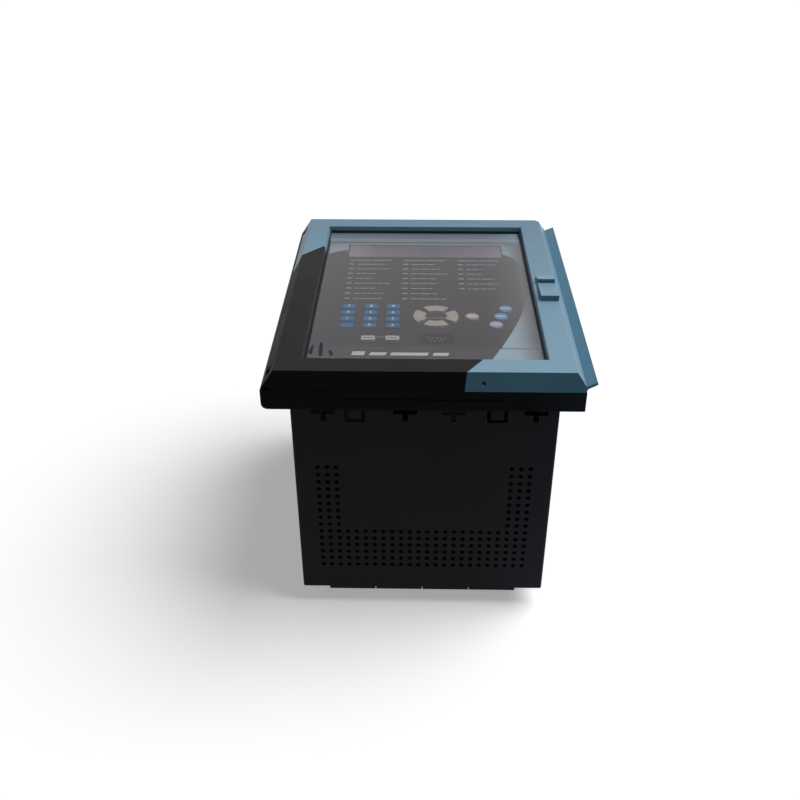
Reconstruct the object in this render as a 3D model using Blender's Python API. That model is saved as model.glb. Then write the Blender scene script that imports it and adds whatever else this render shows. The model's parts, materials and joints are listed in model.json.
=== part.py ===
"""Draw-out motor protection relay, standing on its rear terminals with its front upwards.

Metres, +Z up. +Z points out of the relay's front, +X to the right of the front and +Y to its top.
Sections are drawn about the centre of the front collar, with z = 0 on the door's flat front, and
place() moves them to the part's own origin, below the middle of the part on the surface it stands on.
"""
import math

import bmesh
import bpy
from mathutils import Vector

# Clearance between neighbouring pieces
GAP = 0.0003

# Collar round the front of the case: the part's leading sizes
COLLAR_HALF_WIDTH = 0.1142
COLLAR_HALF_HEIGHT = 0.1430
COLLAR_DEPTH = 0.0152
COLLAR_WALL = 0.0030
COLLAR_LIP = 0.0025
COLLAR_CORNER = 0.0045
COLLAR_OVERHANG_X = 0.0167
COLLAR_OVERHANG_Y = 0.0120
DOOR_GAP = 0.0004
FINGER_HALF_WIDTH = 0.45 * COLLAR_HALF_WIDTH
FINGER_SPLAY = 0.0042
FINGER_HEIGHT = 0.0072
FINGER_DEPTH = 0.0008
GASKET_THICKNESS = 0.0010
GASKET_INSET = 0.0020

# Door: flat front, slanted sides, window
DOOR_SLOPE_LEFT = 0.0100
DOOR_SLOPE_RIGHT = 0.0076
FACE_LEFT = COLLAR_HALF_WIDTH - DOOR_SLOPE_LEFT
FACE_RIGHT = COLLAR_HALF_WIDTH - DOOR_SLOPE_RIGHT
DOOR_FLARE = 0.0020
FACE_HALF_HEIGHT = COLLAR_HALF_HEIGHT - DOOR_FLARE
DOOR_THICKNESS = 0.0147
DOOR_INSET = 0.0008
DOOR_RIGHT = COLLAR_HALF_WIDTH - DOOR_INSET
GROOVE_DEPTH = 0.0103
LIP_REACH = 0.0074
LIP_RISE = 0.0033
LIP_THICKNESS = 0.0017
MEMBER_LEFT = 0.0181
MEMBER_RIGHT = 0.0177
MEMBER_END = 0.0179
WINDOW_LEFT = FACE_LEFT - MEMBER_LEFT
WINDOW_RIGHT = FACE_RIGHT - MEMBER_RIGHT
WINDOW_HALF_HEIGHT = FACE_HALF_HEIGHT - MEMBER_END
WINDOW_SIDE_SLOPE = 0.0015
WINDOW_END_SLOPE = 0.0008
WINDOW_DEPTH = 0.0055
DOOR_WALL = 0.0030
PANE_LAP = 0.0040
PANE_THICKNESS = 0.0022
CORNER_CUT = 0.0035
CORNER_DEPTH = 0.0080
LUG_WIDTH = 0.0140
LUG_INSET = 0.0004
LUG_LENGTH = 0.0495
LUG_HEIGHT = 0.0045
LUG_TOP_Y = 0.0208
SEAL_HOLE_RADIUS = 0.0016
SEAL_HOLE_X = 0.37 * COLLAR_HALF_WIDTH
SEAL_HOLE_Z = 0.0085

# Hinge along the door's left side
HINGE_IN = 0.0003
HINGE_DEPTH = 0.0082
HINGE_OPEN = math.radians(105.0)
KNUCKLE_RADIUS = 0.0040
KNUCKLE_LENGTH = 0.0080
KNUCKLE_WEB = 0.0050
KNUCKLE_INSET = 0.0120
PIN_RADIUS = 0.0015
PIN_LENGTH = 0.0200
PIN_SIDES = 20
SWING_GAP = 0.0005
SHOULDER_HEIGHT = 0.0040

# Case: a folded body with a top cover
CASE_OFFSET = 0.0015
CASE_WIDTH = 2 * (COLLAR_HALF_WIDTH - COLLAR_OVERHANG_X)
CASE_HEIGHT = 2 * (COLLAR_HALF_HEIGHT - COLLAR_OVERHANG_Y)
CASE_WALL = 0.0015
CASE_REAR = 0.2088
COVER_FLANGE = 0.0120
VENT_RADIUS = 0.0019
VENT_SIDES = 6
VENT_COLUMNS = 24
VENT_ROWS = 15
VENT_MARGIN = 0.0176
VENT_PITCH_X = (CASE_WIDTH - 2 * VENT_MARGIN) / (VENT_COLUMNS - 1)
VENT_PITCH_Z = 0.00685
VENT_SIDE_COLUMNS = 3
VENT_FULL_ROWS = 6
VENT_REAR_MARGIN = 0.0238
SLOT_FRONT_Z = 0.0360
TEE_HALF_WIDTH = 0.0086
TEE_BAR_Z = 0.0415
TEE_STEM_HALF = 0.0019
TEE_STEM_Z = 0.0474
TEE_INNER = 0.0176
TEE_EDGE = 0.0204
TEE_SHIFT = 0.0035
TEE_OFFSETS = (TEE_INNER, CASE_WIDTH / 2 - TEE_EDGE)
TAB_EDGE = 0.0459
TAB_SHIFT = 0.0010
TAB_OFFSET = CASE_WIDTH / 2 - TAB_EDGE
TAB_HALF_WIDTH = 0.0075
TAB_SLOT_Z = 0.0480
TAB_TONGUE_HALF = 0.0046
TAB_TONGUE_Z = 0.0456
SIDE_TAB_EDGE = 0.0610
SIDE_TAB_OFFSET = CASE_HEIGHT / 2 - SIDE_TAB_EDGE

# Rear panel and terminals
REAR_THICKNESS = 0.0020
TERMINAL_DEPTH = 0.0175
TERMINAL_CELL_DEPTH = 0.0039
BLOCK_MARGIN_X = 0.0198
BLOCK_SPACE = 0.0006
BLOCK_COUNT = 4
BLOCK_SPACING = (CASE_WIDTH - 2 * BLOCK_MARGIN_X + BLOCK_SPACE) / BLOCK_COUNT
LOWER_BLOCK_WIDTH = BLOCK_SPACING - BLOCK_SPACE
UPPER_BLOCK_WIDTH = 2 * BLOCK_SPACING - BLOCK_SPACE
UPPER_BLOCK_ROWS = 12
LOWER_BLOCK_ROWS = 12
UPPER_SPINE = 0.0080
LOWER_SPINE = 0.0120
BLOCK_BARRIER = 0.0016
BLOCK_MARGIN_Y = 0.0165
BLOCK_FLOOR_Y = CASE_HEIGHT / 2 - BLOCK_MARGIN_Y
BLOCK_ROW_GAP = 0.0060
LOWER_BLOCK_HEIGHT = 0.432 * BLOCK_FLOOR_Y * 2
UPPER_BLOCK_HEIGHT = 0.524 * BLOCK_FLOOR_Y * 2 - BLOCK_ROW_GAP
GROUND_RADIUS = 0.0060
GROUND_LENGTH = 0.0090
GROUND_SPACE = 0.0090

# Draw-out unit
FACEPLATE_Z = 0.0160
FACEPLATE_THICKNESS = 0.0025
FACEPLATE_SIDE_GAP = 0.0045
FACEPLATE_END_GAP = 0.0048
FACEPLATE_HALF_WIDTH = CASE_WIDTH / 2 - FACEPLATE_SIDE_GAP
FACEPLATE_HALF_HEIGHT = CASE_HEIGHT / 2 - FACEPLATE_END_GAP
CHASSIS_SIDE_GAP = 0.0067
CHASSIS_HALF_WIDTH = CASE_WIDTH / 2 - CHASSIS_SIDE_GAP
CHASSIS_END_GAP = 0.0130
CHASSIS_HALF_HEIGHT = CASE_HEIGHT / 2 - CHASSIS_END_GAP
CHASSIS_SHEET = 0.0012
CHASSIS_REAR_GAP = 0.0233
CHASSIS_REAR = CASE_REAR - CHASSIS_REAR_GAP
BOARD_THICKNESS = 0.0016
KEYPAD_BOARD_Z = 0.0240
KEYPAD_BOARD_MARGIN = 0.0065
KEYPAD_BOARD_TOP = FACEPLATE_HALF_HEIGHT - KEYPAD_BOARD_MARGIN
KEYPAD_BOARD_HALF_WIDTH = CHASSIS_HALF_WIDTH - KEYPAD_BOARD_MARGIN
CARD_MARGIN = 0.0130
CARD_HALF_HEIGHT = CHASSIS_HALF_HEIGHT - CARD_MARGIN
MAIN_BOARD_X = 0.66 * CHASSIS_HALF_WIDTH
POWER_BOARD_X = 0.055 * CHASSIS_HALF_WIDTH
TRANSFORMER_WIDTH = 0.48 * CHASSIS_HALF_WIDTH
TRANSFORMER_COUNT = 3
TRANSFORMER_PITCH = 2 * CARD_HALF_HEIGHT / (TRANSFORMER_COUNT + 1)
TRANSFORMER_LENGTH = 0.8 * TRANSFORMER_PITCH
RELAY_WIDTH = 0.0160
RELAY_COUNT = 6
RELAY_PITCH = 2 * CARD_HALF_HEIGHT / (RELAY_COUNT + 0.4)
RELAY_LENGTH = 0.88 * RELAY_PITCH
PLUG_MARGIN = 0.0274
PLUG_HALF_WIDTH = CHASSIS_HALF_WIDTH - PLUG_MARGIN
PLUG_HALF_HEIGHT = CHASSIS_HALF_HEIGHT - PLUG_MARGIN
PLUG_BASE = 0.0060
PLUG_SHOULDER = 0.0120
PLUG_TONGUE_HALF_WIDTH = PLUG_HALF_WIDTH - PLUG_SHOULDER
PLUG_TONGUE_HALF_HEIGHT = PLUG_HALF_HEIGHT - PLUG_SHOULDER
PLUG_REACH = 0.0140
SOCKET_WALL = 0.0050
SOCKET_HEIGHT = 0.0140
RAIL_LEDGE = 0.0075
RAIL_LEG = 0.0022
RAIL_HEIGHT = 0.0200
RAIL_FRONT = 0.0350
RAIL_REAR_GAP = 0.0088
RAIL_BACK = CASE_REAR - RAIL_REAR_GAP

# Layout of the front: one unit is a millimetre on the real faceplate
UNIT_X = FACEPLATE_HALF_WIDTH / 93.0
UNIT_Y = FACEPLATE_HALF_HEIGHT / 126.2
UNIT = min(UNIT_X, UNIT_Y)

# Locking handle across the foot of the unit's front
HANDLE_TOP_Y = 78.5 * UNIT_Y
HANDLE_FOOT_GAP = 0.0105
HANDLE_BOTTOM_Y = CASE_HEIGHT / 2 - HANDLE_FOOT_GAP
HANDLE_RECESS = 0.0006
HANDLE_THICKNESS = 0.0030
HANDLE_SIDE_GAP = 0.0005
HANDLE_ARM = 0.0030
HANDLE_ARM_DEPTH = 0.0120
HANDLE_PIN_DROP = 0.0095
HANDLE_PIN_BACK = 0.0027
HANDLE_PIN_RADIUS = 0.0020
LATCH_HALF_WIDTH = 0.0070
LATCH_HEIGHT = 0.0040
LATCH_TRAVEL = 0.0020
LATCH_PROUD = 0.0015
LATCH_LIP = 0.0030

# Display, lamps and serial port
DISPLAY_LEFT = 67.3 * UNIT_X
DISPLAY_RIGHT = 70.6 * UNIT_X
DISPLAY_TOP = 118.3 * UNIT_Y
DISPLAY_BOTTOM = 91.8 * UNIT_Y
DISPLAY_MARGIN = 0.0030
DISPLAY_DEPTH = 0.0046
LAMP_TOP_Y = 75.2 * UNIT_Y
LAMP_PITCH = 9.85 * UNIT_Y
LAMP_HALF_WIDTH = 0.0021
LAMP_HALF_HEIGHT = 0.0010
LAMP_COLUMNS = (
    ("light_pipe_left", -62.9 * UNIT_X, 8),
    ("light_pipe_middle", -15.4 * UNIT_X, 8),
    ("light_pipe_right", 32.6 * UNIT_X, 6),
)
LIGHT_BAR_HALF = 0.0030
LIGHT_BAR_DEPTH = 0.0030
PORT_X = 10.7 * UNIT_X
PORT_Y = -63.2 * UNIT_Y
PORT_HALF_WIDTH = 0.0115
PORT_HALF_HEIGHT = 0.0060
PORT_SLANT = 0.0022
PORT_WALL = 0.0014
PORT_SOCKET_DEPTH = 0.0052
PORT_FLANGE = 0.0035
PORT_PROUD = 0.0003

# Keys
KEY_PROUD = 0.0018
KEY_TRAVEL = 0.0010
KEY_FLANGE = 0.0010
KEY_FLANGE_THICKNESS = 0.0012
KEY_STEM_HALF = 0.0018
DIGIT_X = -60.0 * UNIT_X
DIGIT_Y = -11.0 * UNIT_Y
DIGIT_PITCH_X = 18.05 * UNIT_X
DIGIT_PITCH_Y = 11.0 * UNIT_Y
DIGIT_HALF_WIDTH = 5.2 * UNIT_X
DIGIT_HALF_HEIGHT = 3.7 * UNIT_Y
DIGIT_ROWS = (("7", "8", "9"), ("4", "5", "6"), ("1", "2", "3"), ("point", "0", "sign"))
RING_X = 10.1 * UNIT_X
RING_Y = -27.3 * UNIT_Y
RING_OUTER = 17.9 * UNIT
RING_INNER = 8.8 * UNIT
RING_HALF_ANGLE = math.radians(34.5)
ROUND_RADIUS = 5.4 * UNIT
ROUND_SIDES = 14
ROUND_KEYS = (
    ("help", 38.9 * UNIT_X, -27.5 * UNIT_Y),
    ("escape", 66.3 * UNIT_X, -13.5 * UNIT_Y),
    ("enter", 61.6 * UNIT_X, -27.4 * UNIT_Y),
    ("reset", 57.0 * UNIT_X, -41.3 * UNIT_Y),
)
SMALL_KEYS = (("previous", -42.1 * UNIT_X, -65.0 * UNIT_Y), ("next", -23.5 * UNIT_X, -64.8 * UNIT_Y))
SMALL_HALF_WIDTH = 5.3 * UNIT_X
SMALL_HALF_HEIGHT = 3.4 * UNIT_Y

# Planes worked out from the sizes above, z = 0 on the door's flat front
DOOR_BACK = -DOOR_THICKNESS
COLLAR_FRONT = DOOR_BACK - DOOR_GAP
COLLAR_BACK = COLLAR_FRONT - COLLAR_DEPTH
REAR_OUT = -CASE_REAR
FLOOR = REAR_OUT - GAP - TERMINAL_DEPTH
LIP_X = DOOR_RIGHT + LIP_REACH
LIP_TIP = LIP_X + LIP_THICKNESS * 0.4
CENTRE_X = (LIP_TIP - COLLAR_HALF_WIDTH) / 2
CASE_LEFT = CASE_OFFSET - CASE_WIDTH / 2
CASE_RIGHT = CASE_OFFSET + CASE_WIDTH / 2
CASE_HALF_HEIGHT = CASE_HEIGHT / 2
HINGE_X = -FACE_LEFT - HINGE_IN
PLATE_FRONT = -FACEPLATE_Z
PLATE_BACK = PLATE_FRONT - FACEPLATE_THICKNESS
KEY_TOP = PLATE_FRONT + KEY_PROUD
HANDLE_FRONT = DOOR_BACK - HANDLE_RECESS
HANDLE_BACK = HANDLE_FRONT - HANDLE_THICKNESS
HANDLE_PIN_Y = HANDLE_TOP_Y + HANDLE_PIN_DROP
HANDLE_PIN_Z = HANDLE_BACK - HANDLE_PIN_BACK
BOARD_FRONT = -KEYPAD_BOARD_Z


def clear_scene():
    """Start from an empty scene."""
    for item in list(bpy.data.objects):
        bpy.data.objects.remove(item, do_unlink=True)


def material(name, colour, roughness, metallic=0.0, alpha=1.0):
    """A plain Principled material."""
    made = bpy.data.materials.new(name)
    made.use_nodes = True
    shader = made.node_tree.nodes["Principled BSDF"]
    shader.inputs["Base Color"].default_value = (*colour, 1.0)
    shader.inputs["Roughness"].default_value = roughness
    shader.inputs["Metallic"].default_value = metallic
    shader.inputs["Alpha"].default_value = alpha
    made.diffuse_color = (*colour, alpha)
    return made


def place(point):
    """From the drawing's origin to the part's own origin."""
    return Vector((point[0] - CENTRE_X, point[1], point[2] - FLOOR))


def rectangle(left, right, low, high):
    return [(left, low), (right, low), (right, high), (left, high)]


def circle(u, v, radius, sides):
    step = 2 * math.pi / sides
    angles = [(i + 0.5) * step for i in range(sides)]
    return [(u + radius * math.cos(angle), v + radius * math.sin(angle)) for angle in angles]


def arc(u, v, radius, start, end, steps):
    turn = (end - start) / steps
    angles = [start + i * turn for i in range(steps + 1)]
    return [(u + radius * math.cos(angle), v + radius * math.sin(angle)) for angle in angles]


def prism(outline, axis, low, high):
    """A closed prism: its outline in the plane across the axis, and its two ends along the axis."""
    return ("prism", outline, axis, low, high)


def box(x0, x1, y0, y1, z0, z1):
    return prism(rectangle(x0, x1, y0, y1), "z", z0, z1)


def tapered(outline_low, outline_high, low, high):
    """A closed solid along Z between two outlines with the same number of points."""
    return ("tapered", outline_low, outline_high, low, high)


def add_solid(mesh, shape):
    """Add one closed solid to a bmesh."""
    if shape[0] == "prism":
        _, outline, axis, low, high = shape
        orders = {
            "x": lambda u, v, w: (w, u, v),
            "y": lambda u, v, w: (u, w, v),
            "z": lambda u, v, w: (u, v, w),
        }
        order = orders[axis]
        first = [mesh.verts.new(place(order(u, v, low))) for u, v in outline]
        last = [mesh.verts.new(place(order(u, v, high))) for u, v in outline]
    else:
        _, outline_low, outline_high, low, high = shape
        first = [mesh.verts.new(place((u, v, low))) for u, v in outline_low]
        last = [mesh.verts.new(place((u, v, high))) for u, v in outline_high]
    count = len(first)
    mesh.faces.new(first)
    mesh.faces.new(last)
    for i in range(count):
        j = (i + 1) % count
        mesh.faces.new((first[i], first[j], last[j], last[i]))


def mesh_object(name, shapes):
    """One object that holds several closed solids."""
    mesh = bmesh.new()
    for shape in shapes:
        add_solid(mesh, shape)
    bmesh.ops.recalc_face_normals(mesh, faces=mesh.faces)
    data = bpy.data.meshes.new(name)
    mesh.to_mesh(data)
    mesh.free()
    made = bpy.data.objects.new(name, data)
    bpy.context.collection.objects.link(made)
    return made


def combine(target, shapes, operation):
    """Join or cut shapes with an exact Boolean and keep the result as the object's mesh."""
    tool = mesh_object("tool", shapes)
    modifier = target.modifiers.new("combine", "BOOLEAN")
    modifier.operation = operation
    modifier.solver = "EXACT"
    modifier.use_self = True
    modifier.object = tool
    graph = bpy.context.evaluated_depsgraph_get()
    data = bpy.data.meshes.new_from_object(target.evaluated_get(graph))
    target.modifiers.clear()
    old = target.data
    target.data = data
    bpy.data.meshes.remove(old)
    bpy.data.objects.remove(tool, do_unlink=True)


def piece(name, finish, solids, holes=(), pivot=None, smooth=False):
    """A sub-part: solids joined, holes cut, its origin on its pivot or its own middle."""
    made = mesh_object(name, solids[:1])
    if len(solids) > 1:
        combine(made, solids[1:], "UNION")
    if holes:
        combine(made, list(holes), "DIFFERENCE")
    made.name = name
    made.data.name = name
    made.data.materials.clear()
    made.data.materials.append(finish)
    if pivot is None:
        corners = [vertex.co for vertex in made.data.vertices]
        centre = sum(corners, Vector()) / len(corners)
    else:
        centre = place(pivot)
    for vertex in made.data.vertices:
        vertex.co -= centre
    made.location = centre
    if smooth:
        made.data.shade_smooth()
        made.data.set_sharp_from_angle(angle=math.radians(40.0))
    return made


def ring(outer, inner, low, high):
    """Four bars that together frame an opening, overlapping at the corners."""
    left, right, bottom, top = outer
    in_left, in_right, in_bottom, in_top = inner
    return [
        box(left, in_left, bottom, top, low, high),
        box(in_right, right, bottom, top, low, high),
        box(left, right, bottom, in_bottom, low, high),
        box(left, right, in_top, top, low, high),
    ]


def slant_x(z):
    """The left outline's place at a depth: it runs straight from the flat front to the collar."""
    return -FACE_LEFT - (COLLAR_HALF_WIDTH - FACE_LEFT) * (-z / DOOR_THICKNESS)


def heel_start():
    """Angle about the hinge at which the door's slanted side meets its round heel."""
    radius = DOOR_THICKNESS - HINGE_DEPTH
    angle = math.pi
    while angle < 1.5 * math.pi:
        x = HINGE_X + radius * math.cos(angle)
        z = -HINGE_DEPTH + radius * math.sin(angle)
        if x > slant_x(z):
            return angle
        angle += math.radians(1.0)
    return angle


def door_section():
    """The door's section across its height, x and z."""
    radius = DOOR_THICKNESS - HINGE_DEPTH
    start = heel_start()
    heel = arc(HINGE_X, -HINGE_DEPTH, radius, start, 1.5 * math.pi, 6)
    meet = (slant_x(heel[0][1]), heel[0][1])
    groove = (DOOR_RIGHT, -GROOVE_DEPTH)
    lip_top = (LIP_X, -GROOVE_DEPTH + LIP_RISE)
    lip_low = (LIP_TIP, -GROOVE_DEPTH + LIP_RISE - LIP_THICKNESS)
    under = (DOOR_RIGHT + LIP_THICKNESS * 0.7, -GROOVE_DEPTH - LIP_THICKNESS)
    right_side = [(DOOR_RIGHT, DOOR_BACK), under, lip_low, lip_top, groove, (FACE_RIGHT, 0.0)]
    return [(-FACE_LEFT, 0.0), meet] + heel[1:] + right_side


def window_cut():
    """The window's sloping mouth, a little past the front face so that the cut is clean."""
    over = 0.001 / WINDOW_DEPTH
    side = WINDOW_SIDE_SLOPE
    end = WINDOW_END_SLOPE
    wide = rectangle(-WINDOW_LEFT - side * over, WINDOW_RIGHT + side * over,
                     -WINDOW_HALF_HEIGHT - end * over, WINDOW_HALF_HEIGHT + end * over)
    deep = 1 + over
    narrow = rectangle(-WINDOW_LEFT + side * deep, WINDOW_RIGHT - side * deep,
                       -WINDOW_HALF_HEIGHT + end * deep, WINDOW_HALF_HEIGHT - end * deep)
    return tapered(narrow, wide, -WINDOW_DEPTH - 0.001, 0.001)


def sight_opening(grow=0.0):
    """The clear opening behind the window's mouth: left, right, bottom, top."""
    side = WINDOW_SIDE_SLOPE
    end = WINDOW_HALF_HEIGHT - WINDOW_END_SLOPE + grow
    return (-WINDOW_LEFT + side - grow, WINDOW_RIGHT - side + grow, -end, end)


def knuckle_places():
    reach = FACE_HALF_HEIGHT - KNUCKLE_INSET
    return (("upper", reach), ("lower", -reach))


def swing_notch(centre_y):
    """Room in the door's heel for a knuckle and its web through the whole swing."""
    half = KNUCKLE_WEB / 2 + SWING_GAP
    reach = 2 * DOOR_THICKNESS
    turn = 1.5 * math.pi - HINGE_OPEN
    side = (math.cos(turn - math.pi / 2) * half, math.sin(turn - math.pi / 2) * half)
    far = (side[0] + math.cos(turn) * reach, side[1] + math.sin(turn) * reach)
    points = [(half, -reach), (half, 0.0), side, far, (-reach, far[1]), (-reach, -reach)]
    outline = [(HINGE_X + u, -HINGE_DEPTH + v) for u, v in points]
    low = centre_y - KNUCKLE_LENGTH / 2 - SWING_GAP
    high = centre_y + KNUCKLE_LENGTH / 2 + SWING_GAP
    round_part = circle(HINGE_X, -HINGE_DEPTH, KNUCKLE_RADIUS + SWING_GAP, 16)
    return [prism(outline, "y", low, high), prism(round_part, "y", low, high)]


def corner_cut():
    """The clipped corner between the door's top and its right side, following both slopes."""
    def outline(z):
        x = FACE_RIGHT - (DOOR_RIGHT - FACE_RIGHT) * z / GROOVE_DEPTH
        y = FACE_HALF_HEIGHT - DOOR_FLARE * z / DOOR_THICKNESS
        reach = CORNER_CUT / 2
        far = CORNER_CUT + reach
        return [(x - far, y + reach), (x + reach, y - far), (x + reach, y + reach)]
    return tapered(outline(-CORNER_DEPTH), outline(0.001), -CORNER_DEPTH, 0.001)


def seal_lug():
    """Two ramps on the door's right side, each ending in a step that faces the bottom."""
    right = FACE_RIGHT - LUG_INSET
    left = right - LUG_WIDTH
    step_y = LUG_TOP_Y - 0.38 * LUG_LENGTH
    end_y = LUG_TOP_Y - LUG_LENGTH
    root = -0.001
    start = (LUG_TOP_Y - 0.1 * LUG_LENGTH, 0.0006)
    upper = [(LUG_TOP_Y, root), (step_y, root), (step_y, LUG_HEIGHT), start]
    inner_y = step_y + 0.001
    lower = [(inner_y, root), (end_y, root), (end_y, LUG_HEIGHT), (inner_y, 0.35 * LUG_HEIGHT)]
    return [prism(upper, "x", left, right), prism(lower, "x", left, right)]


def make_door(paint, clear, rubber):
    """Door frame on its hinge line, the pane behind its window and the gasket that holds the pane."""
    pivot = (HINGE_X, 0.0, -HINGE_DEPTH)
    frame = mesh_object("door_frame", [prism(door_section(), "y", -FACE_HALF_HEIGHT, FACE_HALF_HEIGHT)])
    for vertex in frame.data.vertices:
        depth = -(vertex.co.z + FLOOR)
        vertex.co.y += math.copysign(DOOR_FLARE * depth / DOOR_THICKNESS, vertex.co.y)
    combine(frame, seal_lug(), "UNION")
    left, right, bottom, top = sight_opening(PANE_LAP + GAP)
    pocket_end = FACE_HALF_HEIGHT - DOOR_WALL
    pocket_outer = (-FACE_LEFT + DOOR_WALL, FACE_RIGHT - DOOR_WALL, -pocket_end, pocket_end)
    pocket_inner = (left - DOOR_WALL, right + DOOR_WALL, bottom - DOOR_WALL, top + DOOR_WALL)
    back = DOOR_BACK - 0.001
    cuts = [window_cut(), corner_cut(), box(left, right, bottom, top, back, -WINDOW_DEPTH)]
    cuts += ring(pocket_outer, pocket_inner, back, -DOOR_WALL)
    cuts.append(prism(circle(SEAL_HOLE_X, -SEAL_HOLE_Z, SEAL_HOLE_RADIUS, 10), "y",
                      -COLLAR_HALF_HEIGHT - 0.001, -FACE_HALF_HEIGHT + DOOR_WALL + 0.001))
    for _, y in knuckle_places():
        cuts += swing_notch(y)
        bore = circle(HINGE_X, -HINGE_DEPTH, PIN_RADIUS + GAP, PIN_SIDES)
        cuts.append(prism(bore, "y", y - PIN_LENGTH / 2 - GAP, y + PIN_LENGTH / 2 + GAP))
    combine(frame, cuts, "DIFFERENCE")
    frame.data.materials.append(paint)
    centre = place(pivot)
    for vertex in frame.data.vertices:
        vertex.co -= centre
    frame.location = centre
    left, right, bottom, top = sight_opening(PANE_LAP)
    pane_front = -WINDOW_DEPTH - GAP
    pane_back = pane_front - PANE_THICKNESS
    sheet = box(left, right, bottom, top, pane_back, pane_front)
    piece("window_pane", clear, [sheet], pivot=pivot)
    inner = sight_opening()
    gasket = box(left, right, bottom, top, DOOR_BACK + GAP, pane_back - GAP)
    hole = box(inner[0], inner[1], inner[2], inner[3], DOOR_BACK - 0.001, pane_back + 0.001)
    piece("door_gasket", rubber, [gasket], [hole], pivot=pivot)


def make_collar(plastic, rubber, steel):
    """Collar with the hinge knuckles on its left rail, its panel gasket and the hinge pins."""
    corner = COLLAR_CORNER
    outline = [(-COLLAR_HALF_WIDTH, COLLAR_FRONT), (-COLLAR_HALF_WIDTH, COLLAR_BACK + corner)]
    centre = (-COLLAR_HALF_WIDTH + corner, COLLAR_BACK + corner)
    outline += arc(centre[0], centre[1], corner, math.pi, 1.5 * math.pi, 5)[1:]
    outline += [(COLLAR_HALF_WIDTH, COLLAR_BACK), (COLLAR_HALF_WIDTH, COLLAR_FRONT)]
    solids = [prism(outline, "y", -COLLAR_HALF_HEIGHT, COLLAR_HALF_HEIGHT)]
    radius = DOOR_THICKNESS - HINGE_DEPTH + SWING_GAP
    tip_z = COLLAR_FRONT + SHOULDER_HEIGHT
    tip_angle = math.pi + math.asin((-HINGE_DEPTH - tip_z) / radius)
    foot_angle = math.pi + math.asin(min(1.0, (-HINGE_DEPTH - COLLAR_FRONT) / radius))
    rail = [(-COLLAR_HALF_WIDTH, COLLAR_FRONT - 0.001), (-COLLAR_HALF_WIDTH, COLLAR_FRONT)]
    rail.append((slant_x(tip_z), tip_z))
    rail += arc(HINGE_X, -HINGE_DEPTH, radius, tip_angle, foot_angle, 4)
    rail.append((rail[-1][0], COLLAR_FRONT - 0.001))
    solids.append(prism(rail, "y", -FACE_HALF_HEIGHT, FACE_HALF_HEIGHT))
    for _, y in knuckle_places():
        low = y - KNUCKLE_LENGTH / 2
        high = y + KNUCKLE_LENGTH / 2
        solids.append(prism(circle(HINGE_X, -HINGE_DEPTH, KNUCKLE_RADIUS, 16), "y", low, high))
        web_left = HINGE_X - KNUCKLE_WEB / 2
        web_right = HINGE_X + KNUCKLE_WEB / 2
        web = rectangle(web_left, web_right, COLLAR_FRONT - 0.001, -HINGE_DEPTH)
        solids.append(prism(web, "y", low, high))
    inner_x = CASE_WIDTH / 2 - CASE_WALL
    inner_y = CASE_HALF_HEIGHT - CASE_WALL
    outer_x = CASE_WIDTH / 2 + GAP
    outer_y = CASE_HALF_HEIGHT + GAP
    step = COLLAR_FRONT - COLLAR_LIP
    through = COLLAR_BACK - 0.001
    above = COLLAR_FRONT + 0.001
    holes = [
        box(CASE_OFFSET - inner_x, CASE_OFFSET + inner_x, -inner_y, inner_y, through, above),
        box(CASE_OFFSET - outer_x, CASE_OFFSET + outer_x, -outer_y, outer_y, through, step),
    ]
    wall = COLLAR_WALL
    outer = (-COLLAR_HALF_WIDTH + wall + corner / 2, COLLAR_HALF_WIDTH - wall,
             -COLLAR_HALF_HEIGHT + wall + FINGER_DEPTH, COLLAR_HALF_HEIGHT - wall)
    inner = (CASE_OFFSET - outer_x - wall, CASE_OFFSET + outer_x + wall, -outer_y - wall, outer_y + wall)
    holes += ring(outer, inner, through, COLLAR_FRONT - wall)
    top = COLLAR_FRONT + 0.001
    foot = COLLAR_FRONT - FINGER_HEIGHT
    finger = [(-FINGER_HALF_WIDTH, top), (-FINGER_HALF_WIDTH - FINGER_SPLAY, foot),
              (FINGER_HALF_WIDTH + FINGER_SPLAY, foot), (FINGER_HALF_WIDTH, top)]
    holes.append(prism(finger, "y", -COLLAR_HALF_HEIGHT - 0.001, -COLLAR_HALF_HEIGHT + FINGER_DEPTH))
    for _, y in knuckle_places():
        bore = circle(HINGE_X, -HINGE_DEPTH, PIN_RADIUS + GAP, PIN_SIDES)
        holes.append(prism(bore, "y", y - KNUCKLE_LENGTH, y + KNUCKLE_LENGTH))
    piece("front_collar", plastic, solids, holes)
    for name, y in knuckle_places():
        rod = circle(HINGE_X, -HINGE_DEPTH, PIN_RADIUS, PIN_SIDES)
        pin = prism(rod, "y", y - PIN_LENGTH / 2, y + PIN_LENGTH / 2)
        piece("hinge_pin_" + name, steel, [pin], smooth=True)
    edge_x = COLLAR_HALF_WIDTH - GASKET_INSET
    edge_y = COLLAR_HALF_HEIGHT - GASKET_INSET
    face = COLLAR_BACK - GAP
    back = face - GASKET_THICKNESS
    left = CASE_OFFSET - outer_x
    right = CASE_OFFSET + outer_x
    sheet = box(-edge_x + COLLAR_CORNER, edge_x, -edge_y, edge_y, back, face)
    hole = box(left, right, -outer_y, outer_y, back - 0.001, face + 0.001)
    piece("panel_gasket", rubber, [sheet], [hole])


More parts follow.
